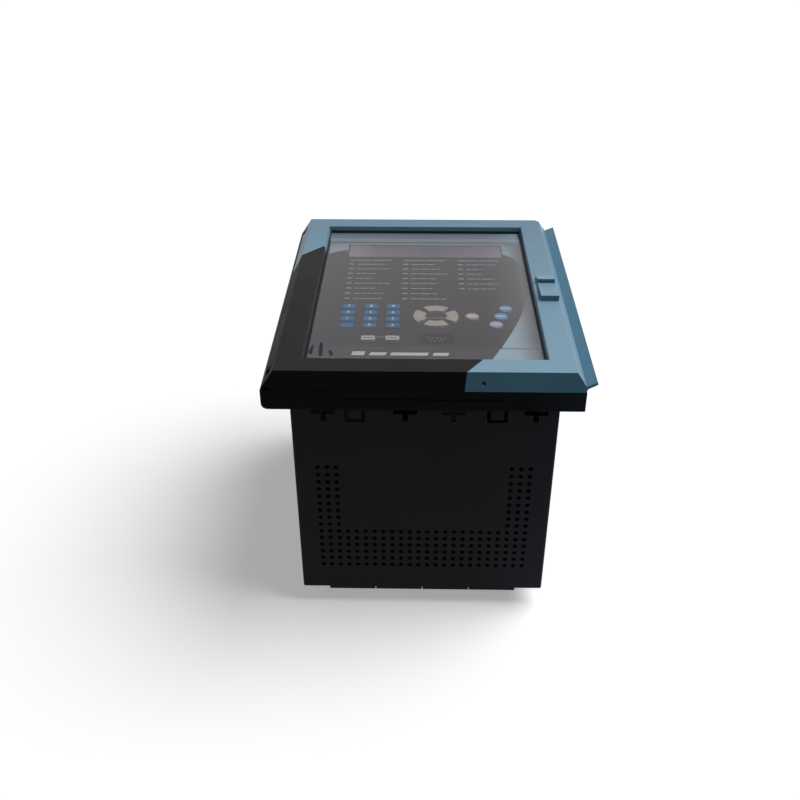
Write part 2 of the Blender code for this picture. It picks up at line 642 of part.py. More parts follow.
def vent_holes(low_y, high_y, first_row):
    """Round ventilation holes: full rows at the rear, and a narrow field up each side."""
    holes = []
    for row in range(first_row, VENT_ROWS):
        z = REAR_OUT + VENT_REAR_MARGIN + (VENT_ROWS - 1 - row) * VENT_PITCH_Z
        full = row >= VENT_ROWS - VENT_FULL_ROWS
        for column in range(VENT_COLUMNS):
            edge = min(column, VENT_COLUMNS - 1 - column)
            if full or edge < VENT_SIDE_COLUMNS:
                x = CASE_OFFSET + (column - (VENT_COLUMNS - 1) / 2) * VENT_PITCH_X
                holes.append(prism(circle(x, z, VENT_RADIUS, VENT_SIDES), "y", low_y, high_y))
    return holes


def tab_slot(centre, axis, low, high):
    """A slot cut round a retaining tongue that stays joined at the slot's front end."""
    front = -SLOT_FRONT_Z
    rear = -TAB_SLOT_Z
    tongue = -TAB_TONGUE_Z
    parts = []
    for sign in (-1, 1):
        sides = sorted((centre + sign * TAB_TONGUE_HALF, centre + sign * TAB_HALF_WIDTH))
        parts.append(prism(rectangle(sides[0], sides[1], rear, front), axis, low, high))
    across = rectangle(centre - TAB_HALF_WIDTH, centre + TAB_HALF_WIDTH, rear, tongue)
    parts.append(prism(across, axis, low, high))
    return parts


def front_slots(low_y, high_y):
    """T-shaped slots and retaining tabs just behind the collar."""
    slots = []
    for sign in (-1, 1):
        for offset in TEE_OFFSETS:
            x = CASE_OFFSET + TEE_SHIFT + sign * offset
            bar = rectangle(x - TEE_HALF_WIDTH, x + TEE_HALF_WIDTH, -TEE_BAR_Z, -SLOT_FRONT_Z)
            stem = rectangle(x - TEE_STEM_HALF, x + TEE_STEM_HALF, -TEE_STEM_Z, -SLOT_FRONT_Z)
            slots += [prism(bar, "y", low_y, high_y), prism(stem, "y", low_y, high_y)]
        slots += tab_slot(CASE_OFFSET + TAB_SHIFT + sign * TAB_OFFSET, "y", low_y, high_y)
    return slots


def make_case(sheet):
    """Folded body with bottom and sides, and a top cover whose flanges lap inside the sides."""
    front = COLLAR_FRONT - COLLAR_LIP - GAP
    rear = -CASE_REAR
    wall = CASE_WALL
    seam = CASE_HALF_HEIGHT - wall - GAP
    half = CASE_HALF_HEIGHT
    outline = [
        (CASE_LEFT, seam), (CASE_LEFT, -half), (CASE_RIGHT, -half), (CASE_RIGHT, seam),
        (CASE_RIGHT - wall, seam), (CASE_RIGHT - wall, -half + wall),
        (CASE_LEFT + wall, -half + wall), (CASE_LEFT + wall, seam),
    ]
    low_y = -half - 0.001
    high_y = -half + wall + 0.001
    holes = vent_holes(low_y, high_y, 0) + front_slots(low_y, high_y)
    for x in (CASE_LEFT, CASE_RIGHT):
        for sign in (-1, 1):
            holes += tab_slot(sign * SIDE_TAB_OFFSET, "x", x - 2 * wall, x + 2 * wall)
    piece("case_body", sheet, [prism(outline, "z", rear, front)], holes)
    flange = seam - COVER_FLANGE
    left = CASE_LEFT + wall + GAP
    right = CASE_RIGHT - wall - GAP
    cover = [
        (CASE_LEFT, half), (CASE_LEFT, half - wall), (left, half - wall), (left, flange),
        (left + wall, flange), (left + wall, half - wall), (right - wall, half - wall),
        (right - wall, flange), (right, flange), (right, half - wall), (CASE_RIGHT, half - wall),
        (CASE_RIGHT, half),
    ]
    low_y = half - wall - 0.001
    high_y = half + 0.001
    holes = vent_holes(low_y, high_y, VENT_ROWS - VENT_FULL_ROWS) + front_slots(low_y, high_y)
    piece("case_top", sheet, [prism(cover, "z", rear, front)], holes)


def terminal_block(name, finish, centre_x, bottom_y, width, height, rows, spine):
    """A barrier block: a solid spine and open cells on both sides for the screws and wires."""
    top = REAR_OUT - GAP
    left = centre_x - width / 2
    right = centre_x + width / 2
    body = box(left, right, bottom_y, bottom_y + height, FLOOR, top)
    pitch = height / rows
    cells = []
    for row in range(rows):
        low = bottom_y + row * pitch + BLOCK_BARRIER / 2
        high = bottom_y + (row + 1) * pitch - BLOCK_BARRIER / 2
        bed = FLOOR + TERMINAL_CELL_DEPTH
        cells.append(box(left - 0.001, centre_x - spine / 2, low, high, FLOOR - 0.001, bed))
        cells.append(box(centre_x + spine / 2, right + 0.001, low, high, FLOOR - 0.001, bed))
    piece(name, finish, [body], cells)


def make_rear(sheet, moulding, brass, plastic):
    """Rear panel with its terminal blocks, the ground terminal and the inner socket."""
    side = CASE_WIDTH / 2 - CASE_WALL - GAP
    end = CASE_HALF_HEIGHT - CASE_WALL - GAP
    notch = CASE_WALL + 2 * GAP
    left = CASE_OFFSET - side
    right = CASE_OFFSET + side
    flange = CASE_HALF_HEIGHT - CASE_WALL - GAP - COVER_FLANGE - GAP
    outline = [(left, -end), (right, -end), (right, flange), (right - notch, flange)]
    outline += [(right - notch, end), (left + notch, end), (left + notch, flange), (left, flange)]
    piece("rear_panel", sheet, [prism(outline, "z", REAR_OUT, REAR_OUT + REAR_THICKNESS)])
    for index, letter in enumerate("abcd"):
        x = CASE_OFFSET + (index - 1.5) * BLOCK_SPACING
        terminal_block("terminal_block_" + letter, moulding, x, -BLOCK_FLOOR_Y,
                       LOWER_BLOCK_WIDTH, LOWER_BLOCK_HEIGHT, LOWER_BLOCK_ROWS, LOWER_SPINE)
    upper_y = -BLOCK_FLOOR_Y + LOWER_BLOCK_HEIGHT + BLOCK_ROW_GAP
    for name, sign in (("left", -1), ("right", 1)):
        x = CASE_OFFSET + sign * BLOCK_SPACING
        terminal_block("terminal_block_upper_" + name, moulding, x, upper_y, UPPER_BLOCK_WIDTH,
                       UPPER_BLOCK_HEIGHT, UPPER_BLOCK_ROWS, UPPER_SPINE)
    ground_y = upper_y + UPPER_BLOCK_HEIGHT + GROUND_SPACE
    hexagon = circle(CASE_OFFSET, ground_y, GROUND_RADIUS, 6)
    stud = prism(hexagon, "z", REAR_OUT - GAP - GROUND_LENGTH, REAR_OUT - GAP)
    piece("ground_terminal", brass, [stud])
    top = REAR_OUT + REAR_THICKNESS + GAP
    wide = PLUG_TONGUE_HALF_WIDTH + SOCKET_WALL
    high = PLUG_TONGUE_HALF_HEIGHT + SOCKET_WALL
    body = box(CASE_OFFSET - wide, CASE_OFFSET + wide, -high, high, top, top + SOCKET_HEIGHT)
    in_x = PLUG_TONGUE_HALF_WIDTH + GAP
    in_y = PLUG_TONGUE_HALF_HEIGHT + GAP
    floor = -CHASSIS_REAR - CHASSIS_SHEET - PLUG_REACH - GAP
    hole = box(CASE_OFFSET - in_x, CASE_OFFSET + in_x, -in_y, in_y, floor, top + SOCKET_HEIGHT + 0.001)
    piece("case_socket", plastic, [body], [hole])


def make_rails(plastic):
    """Guide rails on the case's sides: each has a ledge under one side of the unit's chassis."""
    ledge_top = -CHASSIS_HALF_HEIGHT - GAP
    for name, sign in (("left", -1), ("right", 1)):
        wall = CASE_OFFSET + sign * (CASE_WIDTH / 2 - CASE_WALL - GAP)
        leg = sorted((wall, wall - sign * RAIL_LEG))
        ledge = sorted((wall, wall - sign * RAIL_LEDGE))
        low = ledge_top - RAIL_LEG * 2
        solids = [
            box(leg[0], leg[1], low, low + RAIL_HEIGHT, -RAIL_BACK, -RAIL_FRONT),
            box(ledge[0], ledge[1], low, ledge_top, -RAIL_BACK, -RAIL_FRONT),
        ]
        piece("guide_rail_" + name, plastic, solids)


def make_chassis(sheet, board, black, core, cream):
    """The draw-out unit's folded chassis with its boards, transformers, relays and rear plug."""
    half = CHASSIS_HALF_WIDTH
    skin = CHASSIS_SHEET
    front = PLATE_BACK - GAP
    rear = -CHASSIS_REAR - skin
    left = CASE_OFFSET - half
    right = CASE_OFFSET + half
    outline = [(left, front), (left, rear), (right, rear), (right, front), (right - skin, front)]
    outline += [(right - skin, rear + skin), (left + skin, rear + skin), (left + skin, front)]
    in_x = PLUG_TONGUE_HALF_WIDTH + GAP
    in_y = PLUG_TONGUE_HALF_HEIGHT + GAP
    holes = [box(CASE_OFFSET - in_x, CASE_OFFSET + in_x, -in_y, in_y, rear - 0.001, rear + skin + 0.001)]
    pin = circle(-HANDLE_PIN_Y, HANDLE_PIN_Z, HANDLE_PIN_RADIUS + GAP, PIN_SIDES)
    holes.append(prism(pin, "x", left - 0.001, right + 0.001))
    piece("unit_chassis", sheet, [prism(outline, "y", -CHASSIS_HALF_HEIGHT, CHASSIS_HALF_HEIGHT)], holes)
    base_front = -CHASSIS_REAR + GAP + PLUG_BASE
    plug_left = CASE_OFFSET - PLUG_HALF_WIDTH
    plug_right = CASE_OFFSET + PLUG_HALF_WIDTH
    base = box(plug_left, plug_right, -PLUG_HALF_HEIGHT, PLUG_HALF_HEIGHT,
               -CHASSIS_REAR + GAP, base_front)
    tongue_root = base_front - PLUG_BASE / 2
    tongue = box(CASE_OFFSET - PLUG_TONGUE_HALF_WIDTH, CASE_OFFSET + PLUG_TONGUE_HALF_WIDTH,
                 -PLUG_TONGUE_HALF_HEIGHT, PLUG_TONGUE_HALF_HEIGHT, rear - PLUG_REACH, tongue_root)
    piece("unit_plug", black, [base, tongue])
    keypad = box(CASE_OFFSET - KEYPAD_BOARD_HALF_WIDTH, CASE_OFFSET + KEYPAD_BOARD_HALF_WIDTH,
                 -HANDLE_TOP_Y, KEYPAD_BOARD_TOP, BOARD_FRONT - BOARD_THICKNESS, BOARD_FRONT)
    piece("keypad_board", board, [keypad])
    card_front = BOARD_FRONT - BOARD_THICKNESS - GAP
    card_rear = base_front + GAP
    for name, x in (("main_board", MAIN_BOARD_X), ("power_board", POWER_BOARD_X)):
        card = box(x, x + BOARD_THICKNESS, -CARD_HALF_HEIGHT, CARD_HALF_HEIGHT, card_rear, card_front)
        piece(name, board, [card])
    fit = POWER_BOARD_X - GAP
    middle = (card_front + card_rear) / 2
    yoke = box(fit - 0.004, fit, -TRANSFORMER_PITCH * 1.5, TRANSFORMER_PITCH * 1.5,
               middle - TRANSFORMER_LENGTH / 4, middle + TRANSFORMER_LENGTH / 4)
    blocks = [yoke]
    for index in range(TRANSFORMER_COUNT):
        y = (index - (TRANSFORMER_COUNT - 1) / 2) * TRANSFORMER_PITCH
        reach = TRANSFORMER_LENGTH / 2
        blocks.append(box(fit - TRANSFORMER_WIDTH, fit, y - reach, y + reach,
                          middle - reach, middle + reach))
    piece("input_transformers", core, blocks)
    fit = MAIN_BOARD_X - GAP
    rack = box(fit - 0.003, fit, -RELAY_PITCH * RELAY_COUNT / 2, RELAY_PITCH * RELAY_COUNT / 2,
               card_rear + 0.010, card_rear + 0.010 + RELAY_LENGTH)
    blocks = [rack]
    for index in range(RELAY_COUNT):
        y = (index - (RELAY_COUNT - 1) / 2) * RELAY_PITCH
        blocks.append(box(fit - RELAY_WIDTH, fit, y - RELAY_LENGTH / 2, y + RELAY_LENGTH / 2,
                          card_rear + 0.012, card_rear + 0.008 + RELAY_LENGTH))
    piece("output_relays", cream, blocks)


def port_outline(grow):
    """The port's D shape, wide side up."""
    wide = PORT_HALF_WIDTH + grow
    narrow = PORT_HALF_WIDTH - PORT_SLANT + grow
    high = PORT_HALF_HEIGHT + grow
    points = [(-wide, high), (-narrow, -high), (narrow, -high), (wide, high)]
    return [(PORT_X + u, PORT_Y + v) for u, v in points]


def lamp_places():
    for name, x, count in LAMP_COLUMNS:
        yield name, x, [LAMP_TOP_Y - row * LAMP_PITCH for row in range(count)]


def lamp_outline(x, y, grow):
    return rectangle(x - LAMP_HALF_WIDTH - grow, x + LAMP_HALF_WIDTH + grow,
                     y - LAMP_HALF_HEIGHT - grow, y + LAMP_HALF_HEIGHT + grow)


def ring_outline(turn, grow):
    """One of the four message keys: a ring sector."""
    outer = RING_OUTER + grow
    inner = RING_INNER - grow
    wide = RING_HALF_ANGLE + grow / RING_OUTER
    near = RING_HALF_ANGLE + grow / RING_INNER
    points = arc(RING_X, RING_Y, outer, turn - wide, turn + wide, 6)
    points += arc(RING_X, RING_Y, inner, turn + near, turn - near, 4)
    return points


def keys():
    """Every key: its name, its finish, its outline for a given growth, and its middle."""
    made = []
    for row, names in enumerate(DIGIT_ROWS):
        for column, name in enumerate(names):
            x = DIGIT_X + column * DIGIT_PITCH_X
            y = DIGIT_Y - row * DIGIT_PITCH_Y
            outline = key_rectangle(x, y, DIGIT_HALF_WIDTH, DIGIT_HALF_HEIGHT)
            made.append(("key_" + name, "blue", outline, (x, y)))
    for name, turn in (("right", 0.0), ("up", 0.5), ("left", 1.0), ("down", 1.5)):
        angle = turn * math.pi
        middle = (RING_OUTER + RING_INNER) / 2
        centre = (RING_X + middle * math.cos(angle), RING_Y + middle * math.sin(angle))
        made.append(("key_" + name, "beige", key_sector(angle), centre))
    finishes = {"help": "beige", "escape": "blue", "enter": "blue", "reset": "violet"}
    for name, x, y in ROUND_KEYS:
        made.append(("key_" + name, finishes[name], key_circle(x, y), (x, y)))
    for name, x, y in SMALL_KEYS:
        outline = key_rectangle(x, y, SMALL_HALF_WIDTH, SMALL_HALF_HEIGHT)
        made.append(("key_" + name, "grey", outline, (x, y)))
    return made


def key_rectangle(x, y, half_width, half_height):
    def outline(grow):
        wide = half_width + grow
        high = half_height + grow
        return rectangle(x - wide, x + wide, y - high, y + high)
    return outline


def key_circle(x, y):
    return lambda grow: circle(x, y, ROUND_RADIUS + grow, ROUND_SIDES)


def key_sector(angle):
    return lambda grow: ring_outline(angle, grow)


def make_keys(finishes):
    """Key caps that stand proud of the faceplate, each with a flange behind it and a plunger."""
    flange_top = PLATE_BACK - GAP
    flange_low = flange_top - KEY_FLANGE_THICKNESS
    plunger_low = BOARD_FRONT + KEY_TRAVEL + GAP
    for name, finish, outline, (x, y) in keys():
        cap = prism(outline(0.0), "z", flange_low + KEY_FLANGE_THICKNESS / 2, KEY_TOP)
        flange = prism(outline(KEY_FLANGE), "z", flange_low, flange_top)
        stem = box(x - KEY_STEM_HALF, x + KEY_STEM_HALF, y - KEY_STEM_HALF, y + KEY_STEM_HALF,
                   plunger_low, flange_low + KEY_FLANGE_THICKNESS / 2)
        piece(name, finishes[finish], [flange, cap, stem], pivot=(x, y, KEY_TOP))


def make_faceplate(plate, smoke, board, lamp, metal):
    """Faceplate with its openings, the display, the light pipes and the serial port."""
    left = CASE_OFFSET - FACEPLATE_HALF_WIDTH
    right = CASE_OFFSET + FACEPLATE_HALF_WIDTH
    bottom = -HANDLE_TOP_Y + GAP
    solid = box(left, right, bottom, FACEPLATE_HALF_HEIGHT, PLATE_BACK, PLATE_FRONT)
    low = PLATE_BACK - 0.001
    high = PLATE_FRONT + 0.001
    holes = [prism(outline(GAP), "z", low, high) for _, _, outline, _ in keys()]
    holes.append(box(-DISPLAY_LEFT - GAP, DISPLAY_RIGHT + GAP, DISPLAY_BOTTOM - GAP, DISPLAY_TOP + GAP,
                     low, high))
    holes.append(prism(port_outline(GAP), "z", low, high))
    for _, x, rows in lamp_places():
        holes += [prism(lamp_outline(x, y, GAP), "z", low, high) for y in rows]
    piece("faceplate", plate, [solid], holes)
    lens = box(-DISPLAY_LEFT, DISPLAY_RIGHT, DISPLAY_BOTTOM, DISPLAY_TOP, PLATE_BACK, PLATE_FRONT)
    piece("display_lens", smoke, [lens])
    margin = DISPLAY_MARGIN
    module_top = PLATE_BACK - GAP
    module_bottom = DISPLAY_BOTTOM - margin
    module = box(-DISPLAY_LEFT - margin, DISPLAY_RIGHT + margin, module_bottom, DISPLAY_TOP - GAP,
                 module_top - DISPLAY_DEPTH, module_top)
    piece("display_module", board, [module])
    for name, x, rows in lamp_places():
        half = LIGHT_BAR_HALF
        bar = box(x - half, x + half, rows[-1] - half, rows[0] + half,
                  module_top - LIGHT_BAR_DEPTH, module_top)
        root = module_top - LIGHT_BAR_DEPTH / 2
        tips = [prism(lamp_outline(x, y, 0.0), "z", root, PLATE_FRONT + GAP) for y in rows]
        piece(name, lamp, [bar] + tips)
    wide = PORT_HALF_WIDTH + PORT_FLANGE
    tall = PORT_HALF_HEIGHT + GAP
    base = box(PORT_X - wide, PORT_X + wide, PORT_Y - tall, PORT_Y + tall,
               BOARD_FRONT + GAP, PLATE_BACK - GAP)
    shell = prism(port_outline(0.0), "z", BOARD_FRONT + 2 * GAP, PLATE_FRONT + PORT_PROUD)
    socket = prism(port_outline(-PORT_WALL), "z", PLATE_FRONT + PORT_PROUD - PORT_SOCKET_DEPTH, high)
    piece("serial_port", metal, [base, shell], [socket])


def make_handle(plate, steel, black):
    """Locking handle with its pivot rod, and the spring latch below it."""
    half = CHASSIS_HALF_WIDTH - CHASSIS_SHEET - HANDLE_SIDE_GAP
    left = CASE_OFFSET - half
    right = CASE_OFFSET + half
    grip = box(left, right, -HANDLE_BOTTOM_Y, -HANDLE_TOP_Y, HANDLE_BACK, HANDLE_FRONT)
    arms = []
    for inner, outer in ((left, left + HANDLE_ARM), (right - HANDLE_ARM, right)):
        arms.append(box(inner, outer, -HANDLE_PIN_Y - HANDLE_ARM * 1.5, -HANDLE_TOP_Y,
                        HANDLE_BACK - HANDLE_ARM_DEPTH, HANDLE_BACK + HANDLE_THICKNESS / 2))
    bore = prism(circle(-HANDLE_PIN_Y, HANDLE_PIN_Z, HANDLE_PIN_RADIUS + GAP, PIN_SIDES), "x",
                 left - 0.001, right + 0.001)
    notch_half = LATCH_HALF_WIDTH + GAP
    latch_top = -HANDLE_BOTTOM_Y + LATCH_HEIGHT
    notch = box(CASE_OFFSET - notch_half, CASE_OFFSET + notch_half, -HANDLE_BOTTOM_Y - 0.001,
                latch_top + LATCH_TRAVEL + GAP, HANDLE_BACK - 0.001, HANDLE_FRONT + 0.001)
    piece("lock_handle", plate, [grip] + arms, [bore, notch])
    tab_left = CASE_OFFSET - LATCH_HALF_WIDTH
    tab_right = CASE_OFFSET + LATCH_HALF_WIDTH
    tab = box(tab_left, tab_right, -HANDLE_BOTTOM_Y - LATCH_PROUD, latch_top,
              HANDLE_BACK - GAP - LATCH_LIP / 2, HANDLE_FRONT)
    wide = LATCH_HALF_WIDTH + LATCH_LIP
    slide = box(CASE_OFFSET - wide, CASE_OFFSET + wide, -HANDLE_BOTTOM_Y, latch_top + LATCH_LIP,
                HANDLE_BACK - GAP - LATCH_LIP, HANDLE_BACK - GAP)
    piece("handle_latch", black, [tab, slide], pivot=(CASE_OFFSET, -HANDLE_BOTTOM_Y, HANDLE_FRONT))
    reach = CHASSIS_HALF_WIDTH
    pin = prism(circle(-HANDLE_PIN_Y, HANDLE_PIN_Z, HANDLE_PIN_RADIUS, PIN_SIDES), "x",
                CASE_OFFSET - reach, CASE_OFFSET + reach)
    piece("handle_pin", steel, [pin], smooth=True)


def build():
    """Every finish and every sub-part."""
    clear_scene()
    paint = material("door_paint", (0.20, 0.37, 0.46), 0.45)
    black = material("black_plastic", (0.012, 0.012, 0.013), 0.5)
    sheet = material("black_enamel", (0.010, 0.010, 0.012), 0.55)
    zinc = material("zinc_sheet", (0.55, 0.56, 0.58), 0.4, 0.9)
    rubber = material("gasket_rubber", (0.02, 0.02, 0.02), 0.8)
    clear = material("clear_pane", (0.75, 0.80, 0.82), 0.05, 0.0, 0.35)
    plate = material("faceplate_film", (0.13, 0.12, 0.13), 0.5)
    smoke = material("display_lens", (0.03, 0.03, 0.035), 0.15)
    board = material("circuit_board", (0.02, 0.10, 0.05), 0.5)
    lamp = material("light_pipe", (0.45, 0.43, 0.42), 0.3)
    steel = material("pin_steel", (0.6, 0.6, 0.62), 0.3, 1.0)
    brass = material("terminal_brass", (0.60, 0.48, 0.22), 0.35, 1.0)
    core = material("transformer_core", (0.16, 0.15, 0.15), 0.5, 0.5)
    cream = material("relay_case", (0.70, 0.66, 0.55), 0.4)
    finishes = {
        "blue": material("key_blue", (0.09, 0.25, 0.50), 0.45),
        "beige": material("key_beige", (0.45, 0.41, 0.36), 0.45),
        "violet": material("key_violet", (0.47, 0.45, 0.60), 0.45),
        "grey": material("key_grey", (0.50, 0.47, 0.46), 0.45),
    }
    make_door(paint, clear, rubber)
    make_collar(black, rubber, steel)
    make_case(sheet)
    make_rear(sheet, black, brass, black)
    make_rails(black)
    make_chassis(zinc, board, black, core, cream)
    make_faceplate(plate, smoke, board, lamp, zinc)
    make_handle(plate, steel, black)
    make_keys(finishes)


build()
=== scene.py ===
"""Looks of a draw-out protection relay that stands on its rear terminals, front upwards.

Shapes are drawn in millimetres about the middle of the front collar, with z = 0 on the door's flat
front, and place() moves them to the part's own frame in metres.
"""
import json
import math
import random

import bmesh
import bpy
from mathutils import Matrix, Vector


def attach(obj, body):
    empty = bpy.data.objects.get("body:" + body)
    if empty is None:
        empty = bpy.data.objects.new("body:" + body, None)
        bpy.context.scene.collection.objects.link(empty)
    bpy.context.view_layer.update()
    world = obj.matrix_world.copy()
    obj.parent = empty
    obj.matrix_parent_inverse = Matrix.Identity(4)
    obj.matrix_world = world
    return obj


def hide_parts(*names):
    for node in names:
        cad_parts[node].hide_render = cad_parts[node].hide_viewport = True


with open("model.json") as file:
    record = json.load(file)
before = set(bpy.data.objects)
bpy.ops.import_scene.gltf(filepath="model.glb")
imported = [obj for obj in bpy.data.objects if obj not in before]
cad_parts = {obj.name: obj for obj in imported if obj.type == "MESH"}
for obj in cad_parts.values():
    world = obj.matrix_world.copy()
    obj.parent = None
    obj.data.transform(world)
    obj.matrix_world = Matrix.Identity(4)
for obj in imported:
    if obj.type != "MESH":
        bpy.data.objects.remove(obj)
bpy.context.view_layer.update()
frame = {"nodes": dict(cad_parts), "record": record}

# Drawing origin in the part's frame, and sizes shared with the solids, in millimetres
ORIGIN = Vector((3.64, 0.0, -226.6))
GAP = 0.3
FACE_LEFT = -104.2
FACE_RIGHT = 106.6
FACE_HALF = 141.0
FLARE = 2.0
DOOR_BACK = -14.7
DOOR_RIGHT = 113.4
GROOVE = -10.3
HINGE_X = -104.5
HINGE_Z = -8.2
HINGE_RADIUS = 6.5
KNUCKLES = (129.0, -129.0)
WINDOW_LEFT = -86.1
WINDOW_RIGHT = 88.9
WINDOW_HALF = 123.1
WINDOW_DEPTH = 5.5
WINDOW_TAPER = 1.5
PANE_Z = -5.8
COLLAR_X = 114.2
COLLAR_Y = 143.0
COLLAR_FRONT = -15.1
COLLAR_BACK = -30.3
CASE_X = 1.5
CASE_HALF_X = 97.5
CASE_HALF_Y = 131.0
CASE_WALL = 1.5
CASE_FRONT = -17.9
CASE_REAR = -208.8
FLOOR_Z = -226.6
PLATE_Z = -16.0
PLATE_BACK = -18.5
HANDLE_Z = -15.3
HANDLE_TOP = -78.5
HANDLE_FOOT = -120.5
KEY_TOP = -14.2
PIN_BORE = 1.8
KNUCKLE = 4.0
KNUCKLE_NOTCH = 4.5
WINDOW_TAPER_Y = 0.8
VENT_RADIUS = 1.85
VENT_ROW_PITCH = 6.85
VENT_REAR = 23.8
VENT_SIDES = 35.2
PLATE_LEFT = -91.4
PLATE_RIGHT = 94.4
PLATE_TOP = 126.1
PRINT_LOW = PLATE_Z + 0.005
PRINT_TOP = PLATE_Z + 0.10
DISPLAY = (-67.3, 70.6, 91.8, 118.3)
HANDLE_FILM_X = (-87.3, 90.3)
PORT_X = 10.7
PORT_Y = -63.2
LAMP_TOP = 75.2
LAMP_PITCH = 9.85

# How far the door swings, in degrees
HINGE_TRAVEL = 105.0

# The field of vents, in rows from the front; from FULL_ROWS_FROM on, a row has all its columns
VENT_ROWS = 15
VENT_COLUMNS = 24
FULL_ROWS_FROM = 9


def place(point):
    return (Vector(point) - ORIGIN) * 0.001


def rectangle(left, right, low, high):
    return [(left, low), (right, low), (right, high), (left, high)]


def arc(u, v, radius, start, end, steps):
    """Points of an arc, with its angles in degrees."""
    angles = [math.radians(start + (end - start) * i / steps) for i in range(steps + 1)]
    return [(u + radius * math.cos(a), v + radius * math.sin(a)) for a in angles]


def circle(u, v, radius, sides=24):
    return arc(u, v, radius, 0.0, 360.0, sides)[:-1]


def rounded(left, right, low, high, radius, steps=5):
    """A rectangle with round corners."""
    points = arc(right - radius, high - radius, radius, 0, 90, steps)
    points += arc(left + radius, high - radius, radius, 90, 180, steps)
    points += arc(left + radius, low + radius, radius, 180, 270, steps)
    points += arc(right - radius, low + radius, radius, 270, 360, steps)
    return points


AXES = {
    "x": lambda u, v, w: (w, u, v),
    "y": lambda u, v, w: (u, w, v),
    "z": lambda u, v, w: (u, v, w),
}


def prism(outline, axis, low, high):
    """Two rings of points, one at each end of a prism along an axis."""
    turn = AXES[axis]
    return [turn(u, v, low) for u, v in outline], [turn(u, v, high) for u, v in outline]


def tapered(outline_low, outline_high, low, high):
    return [(u, v, low) for u, v in outline_low], [(u, v, high) for u, v in outline_high]


def box(x0, x1, y0, y1, z0, z1):
    return prism(rectangle(x0, x1, y0, y1), "z", z0, z1)


def linked(name, data):
    """A new object in the scene."""
    made = bpy.data.objects.new(name, data)
    bpy.context.collection.objects.link(made)
    return made


def mesh_object(name, shapes):
    """One object from closed solids, each given by its two end rings."""
    mesh = bmesh.new()
    for low, high in shapes:
        first = [mesh.verts.new(place(point)) for point in low]
        last = [mesh.verts.new(place(point)) for point in high]
        count = len(first)
        mesh.faces.new(first)
        mesh.faces.new(last)
        for i in range(count):
            j = (i + 1) % count
            mesh.faces.new((first[i], first[j], last[j], last[i]))
    bmesh.ops.recalc_face_normals(mesh, faces=mesh.faces)
    data = bpy.data.meshes.new(name)
    mesh.to_mesh(data)
    mesh.free()
    return linked(name, data)


def evaluated_mesh(item):
    graph = bpy.context.evaluated_depsgraph_get()
    return bpy.data.meshes.new_from_object(item.evaluated_get(graph))


def settle(item):
    """Replace an object's mesh by what its modifiers make of it."""
    data = evaluated_mesh(item)
    item.modifiers.clear()
    item.data = data


def combine(target, tool, operation, keep_tool=False):
    modifier = target.modifiers.new("combine", "BOOLEAN")
    modifier.operation = operation
    modifier.solver = "EXACT"
    modifier.use_self = not keep_tool
    modifier.object = tool
    settle(target)
    if not keep_tool:
        bpy.data.objects.remove(tool, do_unlink=True)


def shaped(name, solids, holes=()):
    """Solids joined and holes cut."""
    made = mesh_object(name, solids[:1])
    if len(solids) > 1:
        combine(made, mesh_object("tool", solids[1:]), "UNION")
    if holes:
        combine(made, mesh_object("tool", holes), "DIFFERENCE")
    return made


def round_edges(item, width, segments=2, angle=35.0):
    bevel = item.modifiers.new("bevel", "BEVEL")
    bevel.width = width * 0.001
    bevel.segments = segments
    bevel.limit_method = "ANGLE"
    bevel.angle_limit = math.radians(angle)
    bevel.miter_outer = "MITER_ARC"
    settle(item)


def smooth(item, angle=40.0):
    """Smooth shading that leaves flat faces flat."""
    item.data.shade_smooth()
    item.data.set_sharp_from_angle(angle=math.radians(angle))
    weighted = item.modifiers.new("weighted", "WEIGHTED_NORMAL")
    weighted.keep_sharp = True
    weighted.weight = 80


def dress(item, body, material, nodes=()):
    """Finish a piece: its material, the body it rides on and the nodes it stands for."""
    item.data.materials.clear()
    item.data.materials.append(material)
    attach(item, body)
    if nodes:
        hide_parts(*nodes)


# Materials

WHITE = (1.0, 1.0, 1.0, 1.0)
# Most of a noise texture's values lie between these two
NOISE_LOW = 0.3
NOISE_HIGH = 0.7
GLOSS_SPREAD = 0.06
GRAIN_DEPTH = 0.0002
MOULDED = {"bump": 0.05, "grain": 2500.0}


def colour(red, green, blue):
    """A display colour of 0 to 255 as linear light."""
    def linear(value):
        value /= 255.0
        return value / 12.92 if value <= 0.04045 else ((value + 0.055) / 1.055) ** 2.4
    return (linear(red), linear(green), linear(blue), 1.0)


def grey(level):
    return (level, level, level, 1.0)


def shade(base, factor):
    return (base[0] * factor, base[1] * factor, base[2] * factor, 1.0)


def node(tree, kind, **values):
    made = tree.nodes.new(kind)
    for key, value in values.items():
        setattr(made, key, value)
    return made


def feed(tree, value, socket):
    """Link an input to an output, or set it to a number or colour."""
    if isinstance(value, bpy.types.NodeSocket):
        tree.links.new(value, socket)
    else:
        socket.default_value = value


def arithmetic(tree, operation, first, second):
    made = node(tree, "ShaderNodeMath", operation=operation)
    feed(tree, first, made.inputs[0])
    feed(tree, second, made.inputs[1])
    return made.outputs[0]


def map_range(tree, source, start, stop, low=0.0, high=1.0, kind="LINEAR"):
    """A value taken from between start and stop to between low and high."""
    made = node(tree, "ShaderNodeMapRange", interpolation_type=kind)
    feed(tree, source, made.inputs["Value"])
    feed(tree, start, made.inputs["From Min"])
    feed(tree, stop, made.inputs["From Max"])
    feed(tree, low, made.inputs["To Min"])
    feed(tree, high, made.inputs["To Max"])
    return made.outputs["Result"]


def mix_colours(tree, factor, first, second, blend="MIX"):
    made = node(tree, "ShaderNodeMix", data_type="RGBA", blend_type=blend)
    feed(tree, factor, made.inputs["Factor"])
    feed(tree, first, made.inputs["A"])
    feed(tree, second, made.inputs["B"])
    return made.outputs["Result"]


